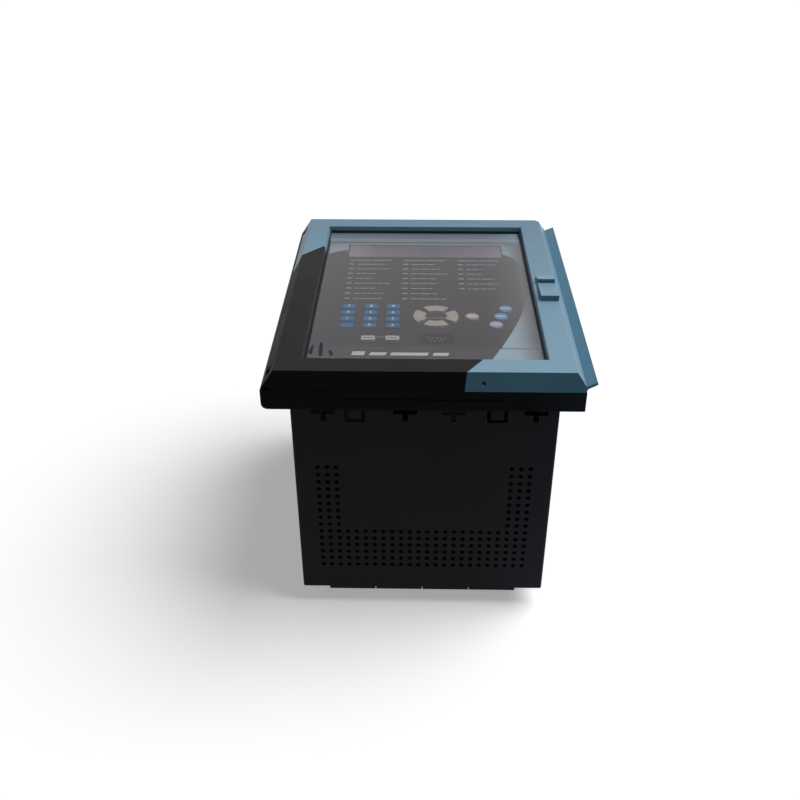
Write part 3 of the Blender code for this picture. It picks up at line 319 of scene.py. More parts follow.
def mix_shaders(tree, factor, first, second):
    made = node(tree, "ShaderNodeMixShader")
    for index, source in enumerate((factor, first, second)):
        tree.links.new(source, made.inputs[index])
    return made.outputs["Shader"]


def noise(tree, scale, detail=3.0, roughness=0.55, stretch=(1.0, 1.0, 1.0)):
    """Noise over the piece's own coordinates in metres; scale is in cycles a metre."""
    coordinates = tree.nodes.get("coordinates")
    if coordinates is None:
        coordinates = node(tree, "ShaderNodeTexCoord", name="coordinates")
    mapping = node(tree, "ShaderNodeMapping")
    mapping.inputs["Scale"].default_value = stretch
    tree.links.new(coordinates.outputs["Object"], mapping.inputs["Vector"])
    made = node(tree, "ShaderNodeTexNoise")
    made.inputs["Scale"].default_value = scale
    made.inputs["Detail"].default_value = detail
    made.inputs["Roughness"].default_value = roughness
    tree.links.new(mapping.outputs["Vector"], made.inputs["Vector"])
    return made.outputs["Fac"]


def split_place(tree):
    """X, Y and Z on the piece, in metres, for a tree that has noise in it."""
    split = node(tree, "ShaderNodeSeparateXYZ")
    tree.links.new(tree.nodes["coordinates"].outputs["Object"], split.inputs["Vector"])
    return split.outputs


def ramp(tree, source, stops):
    """A colour ramp: stops are (place, colour)."""
    made = node(tree, "ShaderNodeValToRGB")
    elements = made.color_ramp.elements
    while len(elements) < len(stops):
        elements.new(0.5)
    for element, (where, value) in zip(elements, stops):
        element.position = where
        element.color = value
    tree.links.new(source, made.inputs["Fac"])
    return made.outputs["Color"]


def finish(name, base, roughness, metallic=0.0, specular=0.5, mottle=0.06, grain=900.0, bump=0.02,
           patch=35.0):
    """A surface with slightly uneven colour, uneven gloss and a fine grain."""
    made = bpy.data.materials.new(name)
    made.use_nodes = True
    tree = made.node_tree
    shader = tree.nodes["Principled BSDF"]
    shader.inputs["Metallic"].default_value = metallic
    shader.inputs["Specular IOR Level"].default_value = specular
    broad = noise(tree, patch, 5.0, 0.6)
    stops = [(NOISE_LOW, shade(base, 1.0 - mottle)), (NOISE_HIGH, shade(base, 1.0 + mottle))]
    tree.links.new(ramp(tree, broad, stops), shader.inputs["Base Color"])
    sharpest = max(0.02, roughness - GLOSS_SPREAD)
    dullest = min(1.0, roughness + GLOSS_SPREAD)
    gloss = map_range(tree, broad, NOISE_LOW, NOISE_HIGH, sharpest, dullest)
    tree.links.new(gloss, shader.inputs["Roughness"])
    rough = node(tree, "ShaderNodeBump")
    rough.inputs["Strength"].default_value = bump
    rough.inputs["Distance"].default_value = GRAIN_DEPTH
    tree.links.new(noise(tree, grain, 2.0), rough.inputs["Height"])
    tree.links.new(rough.outputs["Normal"], shader.inputs["Normal"])
    return made


def foam_with_painted_light(name, dark, pale):
    """Foam that is pale along the door's top and right sides, as painted light where the door's frame shades
    it, and dark along the other two.
    """
    pale_above = 0.1195
    pale_right = 0.078
    made = finish(name, pale, 0.85, specular=0.1, bump=0.15, grain=700.0)
    tree = made.node_tree
    place_on = split_place(tree)
    high = arithmetic(tree, "GREATER_THAN", place_on["Y"], pale_above)
    wide = arithmetic(tree, "GREATER_THAN", place_on["X"], pale_right)
    either = arithmetic(tree, "MAXIMUM", high, wide)
    base = tree.nodes["Principled BSDF"].inputs["Base Color"]
    tree.links.new(mix_colours(tree, either, dark, base.links[0].from_socket), base)
    return made


def across(made, stops, axis="X", sign=1.0, blend="MIX", share=0.8):
    """Let the colour change along an axis; stops are (metres, colour), and sign -1.0 counts backwards."""
    tree = made.node_tree
    first = stops[0][0]
    last = stops[-1][0]
    along = arithmetic(tree, "MULTIPLY", split_place(tree)[axis], sign)
    shares = [((where - first) / (last - first), value) for where, value in stops]
    spread = ramp(tree, map_range(tree, along, first, last), shares)
    base = tree.nodes["Principled BSDF"].inputs["Base Color"]
    tree.links.new(mix_colours(tree, share, base.links[0].from_socket, spread, blend), base)


def thin_stain(name, base, strength):
    """A dark mark on the clear sheet: patchy, and partly see-through."""
    made = finish(name, base, 0.6, specular=0.05, mottle=0.15, patch=300.0, bump=0.0)
    tree = made.node_tree
    thick = map_range(tree, noise(tree, 400.0, 2.0), NOISE_LOW, 0.6, strength * 0.7, strength)
    tree.links.new(thick, tree.nodes["Principled BSDF"].inputs["Alpha"])
    return made


def clear_sheet(name, haze, tint, edges):
    """A clear sheet, with a gloss that grows towards grazing and a haze, both on its outer side.

    Each edge is (axis, start, stop, most): from start to stop, in metres, the haze grows by most. At the top
    and right edges this growth, like the haze's blue tint towards the top, is painted light on film that the
    door's frame shades.
    """
    made = bpy.data.materials.new(name)
    made.use_nodes = True
    tree = made.node_tree
    tree.nodes.clear()
    smear = noise(tree, 28.0, 4.0, 0.6, (1.0, 0.5, 1.0))
    place_on = split_place(tree)
    through = node(tree, "ShaderNodeBsdfTransparent")
    through.inputs["Color"].default_value = tint
    gloss = node(tree, "ShaderNodeBsdfGlossy")
    gloss.inputs["Color"].default_value = WHITE
    tree.links.new(map_range(tree, smear, 0.35, 0.75, 0.03, 0.16), gloss.inputs["Roughness"])
    fresnel = node(tree, "ShaderNodeFresnel")
    fresnel.inputs["IOR"].default_value = 1.38
    inside = node(tree, "ShaderNodeNewGeometry").outputs["Backfacing"]
    outside = arithmetic(tree, "SUBTRACT", 1.0, inside)
    mirror = arithmetic(tree, "MULTIPLY", fresnel.outputs["Fac"], outside)
    clear = mix_shaders(tree, mirror, through.outputs["BSDF"], gloss.outputs["BSDF"])
    dust = node(tree, "ShaderNodeBsdfDiffuse")
    # Painted light: the haze turns bluer towards the top.
    upper = map_range(tree, place_on["Y"], 0.09, 0.105)
    tones = [(0.0, (0.55, 0.53, 0.55, 1.0)), (1.0, (0.44, 0.55, 0.66, 1.0))]
    tree.links.new(ramp(tree, upper, tones), dust.inputs["Color"])
    film = map_range(tree, smear, NOISE_LOW, 0.75, haze * 0.6, haze * 1.5)
    for axis, start, stop, most in edges:
        thicker = map_range(tree, place_on[axis], start, stop, 0.0, most, "SMOOTHSTEP")
        film = arithmetic(tree, "ADD", film, thicker)
    dusty = arithmetic(tree, "MULTIPLY", film, outside)
    output = node(tree, "ShaderNodeOutputMaterial")
    tree.links.new(mix_shaders(tree, dusty, clear, dust.outputs["BSDF"]), output.inputs["Surface"])
    return made


TEAL = finish("teal_moulding", colour(121, 154, 173), 0.42, specular=0.16, mottle=0.03, **MOULDED)
# Painted shade: the teal grows darker towards the door's upper (+Y) end.
across(TEAL, [(-0.128, colour(97, 128, 148)), (0.02, colour(120, 153, 172)),
              (0.141, colour(129, 162, 181))], "Y", sign=-1.0)
# Painted shade: a deeper teal on the lip's inner slope and on faces that look towards the door's lower end.
TEAL_PAINTED_SHADE = finish("teal_shaded", colour(88, 131, 155), 0.42, specular=0.1, mottle=0.04, **MOULDED)
DOOR_BLACK = finish("black_moulding", colour(33, 33, 34), 0.5, specular=0.05, mottle=0.08, **MOULDED)
# Painted shade: the black moulding darkens onto its left slanted side.
across(DOOR_BLACK, [(-0.11, colour(23, 23, 24)), (-0.1075, colour(33, 33, 34))])
# Painted shade: a darker black on faces that look left or towards the door's lower end.
BLACK_PAINTED_SHADE = finish("black_shaded", colour(20, 20, 21), 0.55, specular=0.025, mottle=0.08, **MOULDED)
# Painted light: a lighter black on the left member's inner wall, which faces the lamp.
BLACK_PAINTED_LIGHT = finish("black_painted_light", colour(50, 48, 51), 0.5, specular=0.08, mottle=0.12, **MOULDED)
COLLAR_BLACK = finish("collar_moulding", colour(14, 14, 15), 0.5, specular=0.03, mottle=0.15, bump=0.06,
                      grain=2500.0)
# Painted light: the collar grows lighter and bluer towards its right end.
across(COLLAR_BLACK, [(-0.115, colour(12, 12, 13)), (0.07, colour(13, 13, 15)), (0.117, colour(42, 49, 58))])
ENAMEL = finish("black_enamel", colour(38, 37, 37), 0.5, specular=0.07, mottle=0.25, bump=0.08, grain=1800.0,
                patch=20.0)
# Painted light: the enamel grows lighter and bluer towards the case's right side.
across(ENAMEL, [(-0.097, colour(46, 46, 47)), (0.04, colour(48, 47, 48)), (0.103, colour(62, 64, 78))])
# Painted shade: the enamel darkens towards the case's front, under the collar.
across(ENAMEL, [(0.0, WHITE), (0.1, grey(0.48)), (0.19, grey(0.27))], "Z", blend="MULTIPLY", share=1.0)
MOULDING = finish("terminal_moulding", colour(30, 30, 32), 0.55, specular=0.2, mottle=0.12, bump=0.05)
ZINC = finish("zinc_plate", colour(176, 178, 182), 0.38, metallic=0.9, mottle=0.08, bump=0.03, patch=60.0)
# The foam's pale tone along the door's top and right sides is painted light.
FOAM = foam_with_painted_light("door_foam", colour(48, 44, 48), colour(200, 212, 222))
RUBBER = finish("rubber", colour(17, 18, 19), 0.75, specular=0.25, mottle=0.1, bump=0.05)
FILM_LIGHT = finish("film_light", colour(134, 156, 172), 0.5, specular=0.03, mottle=0.03, bump=0.01)
# Painted light: the light film grows brighter towards the right, where the door's right member shades it.
across(FILM_LIGHT, [(-0.085, colour(150, 170, 180)), (0.06, colour(166, 196, 208)),
                    (0.094, colour(178, 204, 218))])
# Painted light: a lighter film for the strip above the display, where the door's top member shades it.
FILM_TOP_PAINTED_LIGHT = finish("film_top_painted_light", colour(182, 206, 222), 0.5, specular=0.03, mottle=0.03, bump=0.01)
FILM_PALE = finish("film_pale", colour(166, 178, 186), 0.5, mottle=0.02, bump=0.01)
FILM_DARK = finish("film_dark", colour(30, 26, 29), 0.5, specular=0.0, mottle=0.08, bump=0.01)
across(FILM_DARK, [(-0.088, colour(70, 60, 67)), (-0.07, colour(62, 53, 60)), (-0.03, colour(51, 43, 50)),
                   (0.045, colour(52, 44, 50)), (0.07, colour(58, 51, 56)), (0.09, colour(60, 54, 57))])
SMOKE = finish("display_smoke", colour(104, 90, 104), 0.3, specular=0.1, mottle=0.1, patch=22.0, bump=0.0)
across(SMOKE, [(-0.064, colour(150, 138, 145)), (-0.045, colour(116, 108, 116)), (0.004, colour(91, 89, 101)),
               (0.045, colour(122, 112, 125)), (0.074, colour(150, 144, 157))])
BOARD = finish("circuit_board", colour(24, 78, 52), 0.45, mottle=0.08)
LAMP = finish("lamp_window", colour(142, 134, 134), 0.35, specular=0.1, mottle=0.08)
STEEL = finish("steel", colour(178, 178, 180), 0.3, metallic=1.0, mottle=0.05)
BRASS = finish("brass", colour(196, 168, 98), 0.35, metallic=1.0, mottle=0.08)
DULL_ZINC = finish("dull_zinc", colour(58, 58, 60), 0.5, metallic=0.6, specular=0.2, mottle=0.1, bump=0.03)
CORE = finish("transformer_core", colour(96, 92, 88), 0.5, metallic=0.3, mottle=0.12)
CREAM = finish("relay_case", colour(214, 206, 184), 0.45, mottle=0.04)
KEY_BLUE = finish("key_blue", colour(12, 100, 150), 0.4, specular=0.0, mottle=0.08)
KEY_BRIGHT = finish("key_bright_blue", colour(94, 147, 192), 0.4, specular=0.06, mottle=0.05)
KEY_BEIGE = finish("key_beige", colour(162, 151, 140), 0.45, specular=0.15, mottle=0.05)
KEY_VIOLET = finish("key_violet", colour(158, 154, 182), 0.45, specular=0.15, mottle=0.05)
KEY_GREY = finish("key_grey", colour(174, 170, 170), 0.45, specular=0.1, mottle=0.08, patch=300.0)
INK_WHITE = finish("ink_white", colour(226, 228, 230), 0.6, mottle=0.03, bump=0.0)
INK_GREY = finish("ink_grey", colour(138, 132, 136), 0.6, specular=0.1, mottle=0.1, patch=90.0, bump=0.0)
INK_PALE = finish("ink_pale", colour(196, 196, 198), 0.6, specular=0.1, mottle=0.08, patch=120.0, bump=0.0)
INK_DARK = finish("ink_dark", colour(70, 66, 66), 0.6, specular=0.1, mottle=0.1, bump=0.0)
PORT_DARK = finish("port_insert", colour(14, 13, 14), 0.5, specular=0.0, mottle=0.1)
PLATE_BLACK = finish("plate_black", colour(16, 15, 16), 0.5, specular=0.0, mottle=0.1)
PORT_PIN = finish("port_pin", colour(112, 108, 106), 0.5, specular=0.0, mottle=0.1)
SMEAR = thin_stain("pane_smear", colour(52, 46, 64), 0.5)
SPECK = thin_stain("pane_speck", colour(84, 60, 52), 0.75)
# Painted light: the haze grows towards the top and right edges to brighten film that the door's frame shades.
PANE_HAZE_AND_PAINTED_LIGHT = [("Y", 0.094, 0.113, 0.26), ("Y", -0.088, -0.108, 0.04),
              ("X", 0.044, 0.085, 0.13), ("X", 0.07, 0.085, 0.16)]
PANE = clear_sheet("clear_pane", 0.02, (0.93, 0.93, 0.94, 1.0), PANE_HAZE_AND_PAINTED_LIGHT)

CAD_FINISHES = {
    "black_enamel": ENAMEL,
    "black_plastic": MOULDING,
    "zinc_sheet": ZINC,
    "gasket_rubber": RUBBER,
    "clear_pane": PANE,
    "faceplate_film": FILM_LIGHT,
    "display_lens": SMOKE,
    "circuit_board": BOARD,
    "light_pipe": LAMP,
    "pin_steel": STEEL,
    "terminal_brass": BRASS,
    "transformer_core": CORE,
    "relay_case": CREAM,
    "door_paint": TEAL,
    "key_blue": KEY_BLUE,
    "key_beige": KEY_BEIGE,
    "key_violet": KEY_VIOLET,
    "key_grey": KEY_GREY,
}
for part in frame["record"]["subparts"]:
    data = frame["nodes"][part["node"]].data
    for index in range(len(data.materials)):
        data.materials[index] = CAD_FINISHES[part["material_slot"]]
frame["nodes"]["door_gasket"].data.materials[0] = FOAM
frame["nodes"]["lock_handle"].data.materials[0] = MOULDING
frame["nodes"]["serial_port"].data.materials[0] = PORT_DARK
frame["nodes"]["unit_chassis"].data.materials[0] = DULL_ZINC


# Door


def slant_x(z):
    """The door's left side at a depth."""
    return FACE_LEFT - 10.0 * z / DOOR_BACK


def swing_notch(centre_y):
    """Room in the door's heel for a knuckle and its web."""
    turn = math.radians(270.0 - HINGE_TRAVEL)
    half = 3.0
    reach = 30.0
    side = (math.cos(turn - math.pi / 2) * half, math.sin(turn - math.pi / 2) * half)
    far = (side[0] + math.cos(turn) * reach, side[1] + math.sin(turn) * reach)
    points = [(half, -reach), (half, 0.0), side, far, (-reach, far[1]), (-reach, -reach)]
    outline = [(HINGE_X + u, HINGE_Z + v) for u, v in points]
    ends = (centre_y - KNUCKLE_NOTCH, centre_y + KNUCKLE_NOTCH)
    return [prism(outline, "y", *ends), prism(circle(HINGE_X, HINGE_Z, KNUCKLE_NOTCH), "y", *ends)]


def door_section():
    heel = arc(HINGE_X, HINGE_Z, HINGE_RADIUS, 196.0, 270.0, 10)
    meet = (slant_x(heel[0][1]), heel[0][1])
    lip = [(DOOR_RIGHT + 1.2, GROOVE - 1.7), (121.4, -8.7), (120.8, -7.0), (DOOR_RIGHT, GROOVE)]
    return [(FACE_LEFT, 0.0), meet] + heel[1:] + [(DOOR_RIGHT, DOOR_BACK)] + lip + [(FACE_RIGHT, 0.0)]


def corner_cut():
    def outline(z):
        x = FACE_RIGHT - (DOOR_RIGHT - FACE_RIGHT) * z / -GROOVE
        y = FACE_HALF + FLARE * z / DOOR_BACK
        return [(x - 5.25, y + 1.75), (x + 1.75, y - 5.25), (x + 1.75, y + 1.75)]
    return tapered(outline(-8.0), outline(1.0), -8.0, 1.0)


def seal_lug():
    """Two ramps that end in steps, on the right member."""
    upper = [(20.8, -1.0), (2.0, -1.0), (2.0, 4.4), (3.5, 4.4), (15.8, 0.5), (20.8, 0.0)]
    lower = [(1.0, -1.0), (-28.7, -1.0), (-28.7, 4.4), (-26.0, 4.4), (-18.0, 3.4), (-9.0, 2.2), (1.0, 1.5)]
    return [prism(upper, "x", 92.2, 106.2), prism(lower, "x", 92.2, 106.2)]


def window_cut():
    """The window's opening, wider at the front, reaching 1 mm past the moulding at both ends."""
    over = 1.0 / WINDOW_DEPTH
    deep = 1.0 + over
    wide = rectangle(WINDOW_LEFT - WINDOW_TAPER * over, WINDOW_RIGHT + WINDOW_TAPER * over,
                     -WINDOW_HALF - WINDOW_TAPER_Y * over, WINDOW_HALF + WINDOW_TAPER_Y * over)
    narrow = rectangle(WINDOW_LEFT + WINDOW_TAPER * deep, WINDOW_RIGHT - WINDOW_TAPER * deep,
                       -WINDOW_HALF + WINDOW_TAPER_Y * deep, WINDOW_HALF - WINDOW_TAPER_Y * deep)
    return tapered(narrow, wide, -WINDOW_DEPTH - 1.0, 1.0)


def ring(outer, inner, low, high):
    """Four bars round an opening; outer and inner are left, right, bottom, top."""
    left, right, bottom, top = outer
    in_left, in_right, in_bottom, in_top = inner
    return [
        box(left, in_left, bottom, top, low, high),
        box(in_right, right, bottom, top, low, high),
        box(left, right, bottom, in_bottom, low, high),
        box(left, right, in_top, top, low, high),
    ]


SIGHT = (WINDOW_LEFT + WINDOW_TAPER, WINDOW_RIGHT - WINDOW_TAPER,
         -WINDOW_HALF + WINDOW_TAPER_Y, WINDOW_HALF - WINDOW_TAPER_Y)


def grown(sides, amount):
    left, right, bottom, top = sides
    return left - amount, right + amount, bottom - amount, top + amount


def black_zone():
    """The black moulding's share of the door: its left member below a diagonal, and most of the foot."""
    def outline(shift):
        foot = [(-135.0, -165.0), (14.2, -165.0), (42.8, -122.5),
                (48.0, -114.8), (48.0, -100.0), (-75.0, -100.0)]
        slope = [(-75.0, 59.7 + shift), (-84.1, 73.0 + shift), (-87.1, 77.4 + shift), (-104.2, 57.4 + shift)]
        return [(-135.0, 27.0 + shift)] + foot + slope
    return tapered(outline(-18.6), outline(5.6), -20.0, 6.0)


def door_moulding():
    """The whole door frame, before it is split by colour."""
    door = mesh_object("door", [prism(door_section(), "y", -FACE_HALF, FACE_HALF)])
    for vertex in door.data.vertices:
        depth = -(vertex.co.z * 1000.0 + ORIGIN.z)
        vertex.co.y += math.copysign(FLARE * 0.001 * depth / -DOOR_BACK, vertex.co.y)
    combine(door, mesh_object("tool", seal_lug()), "UNION")
    back = -16.0
    cuts = [window_cut(), corner_cut(), box(*grown(SIGHT, 4.3), back, -WINDOW_DEPTH)]
    cuts += ring((-101.2, 103.6, -138.0, 138.0), grown(SIGHT, 7.3), back, -3.0)
    cuts.append(prism(circle(42.2, -8.5, 1.6), "y", -146.0, -137.0))
    for y in KNUCKLES:
        cuts += swing_notch(y)
        cuts.append(prism(circle(HINGE_X, HINGE_Z, PIN_BORE), "y", y - 10.3, y + 10.3))
    combine(door, mesh_object("tool", cuts), "DIFFERENCE")
    round_edges(door, 0.6)
    return door


def shade_door(teal, black):
    """Painted shade on the lip and on the left and lower sides, and painted light on the left member's inner
    wall.
    """
    lip_from = 0.109
    member_inner = -0.084
    teal.data.materials.append(TEAL_PAINTED_SHADE)
    for polygon in teal.data.polygons:
        on_lip = polygon.normal.x < -0.3 and polygon.normal.z > 0.5 and polygon.center.x > lip_from
        polygon.material_index = int(on_lip or polygon.normal.y < -0.7)
    black.data.materials.append(BLACK_PAINTED_SHADE)
    black.data.materials.append(BLACK_PAINTED_LIGHT)
    for polygon in black.data.polygons:
        polygon.material_index = int(polygon.normal.x < -0.6 or polygon.normal.y < -0.7)
        if polygon.normal.x > 0.6 and polygon.center.x < member_inner:
            polygon.material_index = 2


def make_door():
    """The two mouldings, the pane's seal, a painted shadow line between the colours, and the marks on the
    pane.
    """
    teal = door_moulding()
    black = teal.copy()
    black.data = teal.data.copy()
    bpy.context.collection.objects.link(black)
    zone = mesh_object("zone", [black_zone()])
    combine(teal, zone, "DIFFERENCE", keep_tool=True)
    combine(black, zone, "INTERSECT", keep_tool=True)
    bpy.data.objects.remove(zone, do_unlink=True)
    teal.name = "door_teal"
    black.name = "door_black"
    smooth(teal)
    smooth(black)
    dress(teal, "door", TEAL, ["door_frame"])
    dress(black, "door", DOOR_BLACK, ["door_frame"])
    shade_door(teal, black)
    seal = mesh_object("pane_seal", [box(*grown(SIGHT, -0.05), PANE_Z + 0.02, PANE_Z + 2.3)])
    hole = mesh_object("tool", [box(*grown(SIGHT, -0.5), PANE_Z - 1.0, PANE_Z + 3.0)])
    combine(seal, hole, "DIFFERENCE")
    round_edges(seal, 0.15)
    smooth(seal)
    dress(seal, "door", RUBBER)
    # Painted shadow: a thin dark strip on the black side of the step between the two mouldings.
    seam = [(-104.0, 57.4), (-87.1, 77.2), (-86.4, 76.6), (-103.4, 56.8)]
    line = mesh_object("door_seam_shadow", [prism(seam, "z", 0.0, 0.02)])
    dress(line, "door", COLLAR_BLACK)
    make_marks()


def make_marks():
    """Smears near the pane's lower left corner and specks near its right side."""
    low = PANE_Z + 0.02
    top = low + 0.03
    smears = [
        [(-84.3, -80.0), (-83.9, -80.0), (-83.2, -107.6), (-84.3, -107.6)],
        [(-81.6, -92.4), (-80.4, -92.8), (-80.2, -105.5), (-82.0, -107.7), (-83.0, -104.0)],
        [(-75.9, -89.3), (-73.8, -90.2), (-72.6, -109.6), (-75.4, -109.0), (-76.0, -101.0)],
        [(-69.2, -99.9), (-65.4, -103.6), (-64.8, -108.8), (-67.6, -108.6)],
    ]
    smear = mesh_object("pane_smears", [prism(outline, "z", low, top) for outline in smears])
    dress(smear, "door", SMEAR)
    draw = random.Random(11)
    specks = []
    for x, y in ((84.1, -72.5), (82.4, -79.6), (83.8, -82.4), (79.4, -79.6), (84.5, -85.1), (82.8, -89.3),
                 (83.6, -70.3), (81.8, -82.4), (85.2, -102.1)):
        specks.append(prism(circle(x, y, draw.uniform(0.25, 0.55), 9), "z", low, top))
    speck = mesh_object("pane_specks", specks)
    dress(speck, "door", SPECK)


# Collar and case


def make_collar():
    """The front collar with its hinge rail, knuckles, throat, gasket seat and finger recess."""
    bend = 4.5
    outline = [(-COLLAR_X, COLLAR_FRONT)]
    outline += arc(-COLLAR_X + bend, COLLAR_BACK + bend, bend, 180, 270, 10)
    outline += [(COLLAR_X, COLLAR_BACK), (COLLAR_X, COLLAR_FRONT)]
    solids = [prism(outline, "y", -COLLAR_Y, COLLAR_Y)]
    root = COLLAR_FRONT - 1.0
    reach = HINGE_RADIUS + 0.5
    rail = [(-COLLAR_X, root), (-COLLAR_X, COLLAR_FRONT), (slant_x(-11.1), -11.1)]
    rail += arc(HINGE_X, HINGE_Z, reach, 180 + math.degrees(math.asin(2.9 / reach)), 260, 8)
    rail.append((rail[-1][0], root))
    solids.append(prism(rail, "y", -FACE_HALF, FACE_HALF))
    web = rectangle(HINGE_X - 2.5, HINGE_X + 2.5, root, HINGE_Z)
    for y in KNUCKLES:
        solids.append(prism(circle(HINGE_X, HINGE_Z, KNUCKLE), "y", y - KNUCKLE, y + KNUCKLE))
        solids.append(prism(web, "y", y - KNUCKLE, y + KNUCKLE))
    back = -32.0
    inner = (CASE_X - 96.0, CASE_X + 96.0, -129.5, 129.5)
    seat = grown(inner, 1.8)
    holes = [box(*inner, back, -14.0), box(*seat, back, COLLAR_FRONT - 2.5)]
    holes += ring((-108.95, 111.2, -137.0, 140.0), grown(seat, 3.0), back, COLLAR_FRONT - 3.0)
    finger = [(-51.4, -14.0), (-55.6, -22.3), (55.6, -22.3), (51.4, -14.0)]
    holes.append(prism(finger, "y", -145.0, -142.2))
    for y in KNUCKLES:
        holes.append(prism(circle(HINGE_X, HINGE_Z, PIN_BORE), "y", y - 8.0, y + 8.0))
    collar = shaped("collar", solids, holes)
    round_edges(collar, 0.4)
    smooth(collar)
    dress(collar, "relay", COLLAR_BLACK, ["front_collar"])


def vent_holes(low_y, high_y, first_row):
    """Round vents: three columns a side in every row, and whole rows near the rear."""
    pitch = (2 * CASE_HALF_X - VENT_SIDES) / (VENT_COLUMNS - 1)
    holes = []
    for row in range(first_row, VENT_ROWS):
        z = CASE_REAR + VENT_REAR + (VENT_ROWS - 1 - row) * VENT_ROW_PITCH
        for column in range(VENT_COLUMNS):
            if row >= FULL_ROWS_FROM or min(column, VENT_COLUMNS - 1 - column) < 3:
                x = CASE_X + (column - (VENT_COLUMNS - 1) / 2) * pitch
                holes.append(prism(circle(x, z, VENT_RADIUS, 14), "y", low_y, high_y))
    return holes


def tab_slot(centre, axis, low, high):
    """A slot of three sides round a retaining tab."""
    parts = []
    for sign in (-1, 1):
        left, right = sorted((centre + sign * 4.6, centre + sign * 7.5))
        parts.append(prism(rectangle(left, right, -48.0, -36.0), axis, low, high))
    parts.append(prism(rectangle(centre - 7.5, centre + 7.5, -48.0, -45.6), axis, low, high))
    return parts


def front_slots(low_y, high_y):
    """The T-shaped slots and the tab slots near the front."""
    slots = []
    for sign in (-1, 1):
        for offset in (17.6, CASE_HALF_X - 20.4):
            x = CASE_X + 3.5 + sign * offset
            slots.append(prism(rectangle(x - 8.6, x + 8.6, -41.5, -36.0), "y", low_y, high_y))
            slots.append(prism(rectangle(x - 1.9, x + 1.9, -47.4, -36.0), "y", low_y, high_y))
        slots += tab_slot(CASE_X + 1.0 + sign * (CASE_HALF_X - 45.9), "y", low_y, high_y)
    return slots


def make_case():
    """The folded shell and its top cover, both with vents and front slots."""
    left = CASE_X - CASE_HALF_X
    right = CASE_X + CASE_HALF_X
    wall = CASE_WALL
    half = CASE_HALF_Y
    bend = 2.0
    seam = half - wall - GAP
    outline = [(left, seam)] + arc(left + bend, -half + bend, bend, 180, 270, 6)
    outline += arc(right - bend, -half + bend, bend, 270, 360, 6) + [(right, seam), (right - wall, seam)]
    outline += [(right - wall, -half + wall), (left + wall, -half + wall), (left + wall, seam)]
    low = (-half - 1.0, -half + wall + 1.0)
    holes = vent_holes(*low, 0) + front_slots(*low)
    for x in (left, right):
        for sign in (-1, 1):
            holes += tab_slot(sign * (half - 61.0), "x", x - 3.0, x + 3.0)
    body = shaped("case_shell", [prism(outline, "z", CASE_REAR, CASE_FRONT)], holes)
    smooth(body)
    dress(body, "relay", ENAMEL, ["case_body"])
    flange = seam - 12.0
    under = half - wall
    in_left = left + wall + GAP
    in_right = right - wall - GAP
    outline = [(left, half), (left, under), (in_left, under), (in_left, flange),
               (in_left + wall, flange), (in_left + wall, under),
               (in_right - wall, under), (in_right - wall, flange),
               (in_right, flange), (in_right, under), (right, under), (right, half)]
    high = (under - 1.0, half + 1.0)
    holes = vent_holes(*high, FULL_ROWS_FROM) + front_slots(*high)
    cover = shaped("case_cover", [prism(outline, "z", CASE_REAR, CASE_FRONT)], holes)
    smooth(cover)
    dress(cover, "relay", ENAMEL, ["case_top"])


# Front of the draw-out unit

DIGITS = (("7", "8", "9"), ("4", "5", "6"), ("1", "2", "3"), ("point", "0", "sign"))
MARKS = {"point": ".", "sign": "±"}
ROUND_KEYS = (("help", 38.9, -27.5, KEY_BEIGE, "key_beige"),
              ("escape", 66.3, -13.5, KEY_BRIGHT, "key_blue"),
              ("enter", 61.6, -27.4, KEY_BRIGHT, "key_blue"),
              ("reset", 57.0, -41.3, KEY_VIOLET, "key_violet"))
SMALL_KEYS = (("previous", -42.1, -65.0), ("next", -23.5, -64.8))
RING = (10.1, -27.3)
RING_OUTER = 17.9
RING_INNER = 8.8
RING_SPREAD = 34.5


def sector(turn, grow):
    """A ring key's outline."""
    wide = RING_SPREAD + math.degrees(grow / RING_OUTER)
    near = RING_SPREAD + math.degrees(grow / RING_INNER)
    outline = arc(*RING, RING_OUTER + grow, turn - wide, turn + wide, 16)
    return outline + arc(*RING, RING_INNER - grow, turn + near, turn - near, 12)


def pad(x, y, half_x, half_y, radius):
    """A rectangular key's outline, from how far it is to grow."""
    sides = (x - half_x, x + half_x, y - half_y, y + half_y)
    return lambda grow: rounded(*grown(sides, grow), radius)


def disc(x, y):
    """A round key's outline, from how far it is to grow."""
    return lambda grow: circle(x, y, 5.4 + grow, 40)


def ring_key(turn):
    return lambda grow: sector(turn, grow)


def key_outlines():
    """Every key: its name, outline from a growth, middle, material and record slot."""
    made = []
    for row, names in enumerate(DIGITS):
        for column, name in enumerate(names):
            x = -60.0 + 18.05 * column
            y = -11.0 - 11.0 * row
            made.append((name, pad(x, y, 5.2, 3.7, 0.7), (x, y), KEY_BLUE, "key_blue"))
    for name, turn in (("right", 0.0), ("up", 90.0), ("left", 180.0), ("down", 270.0)):
        angle = math.radians(turn)
        middle = (RING[0] + 13.3 * math.cos(angle), RING[1] + 13.3 * math.sin(angle))
        made.append((name, ring_key(turn), middle, KEY_BEIGE, "key_beige"))
    for name, x, y, material, slot in ROUND_KEYS:
        made.append((name, disc(x, y), (x, y), material, slot))
    for name, x, y in SMALL_KEYS:
        made.append((name, pad(x, y, 5.3, 3.4, 0.5), (x, y), KEY_GREY, "key_grey"))
    return made


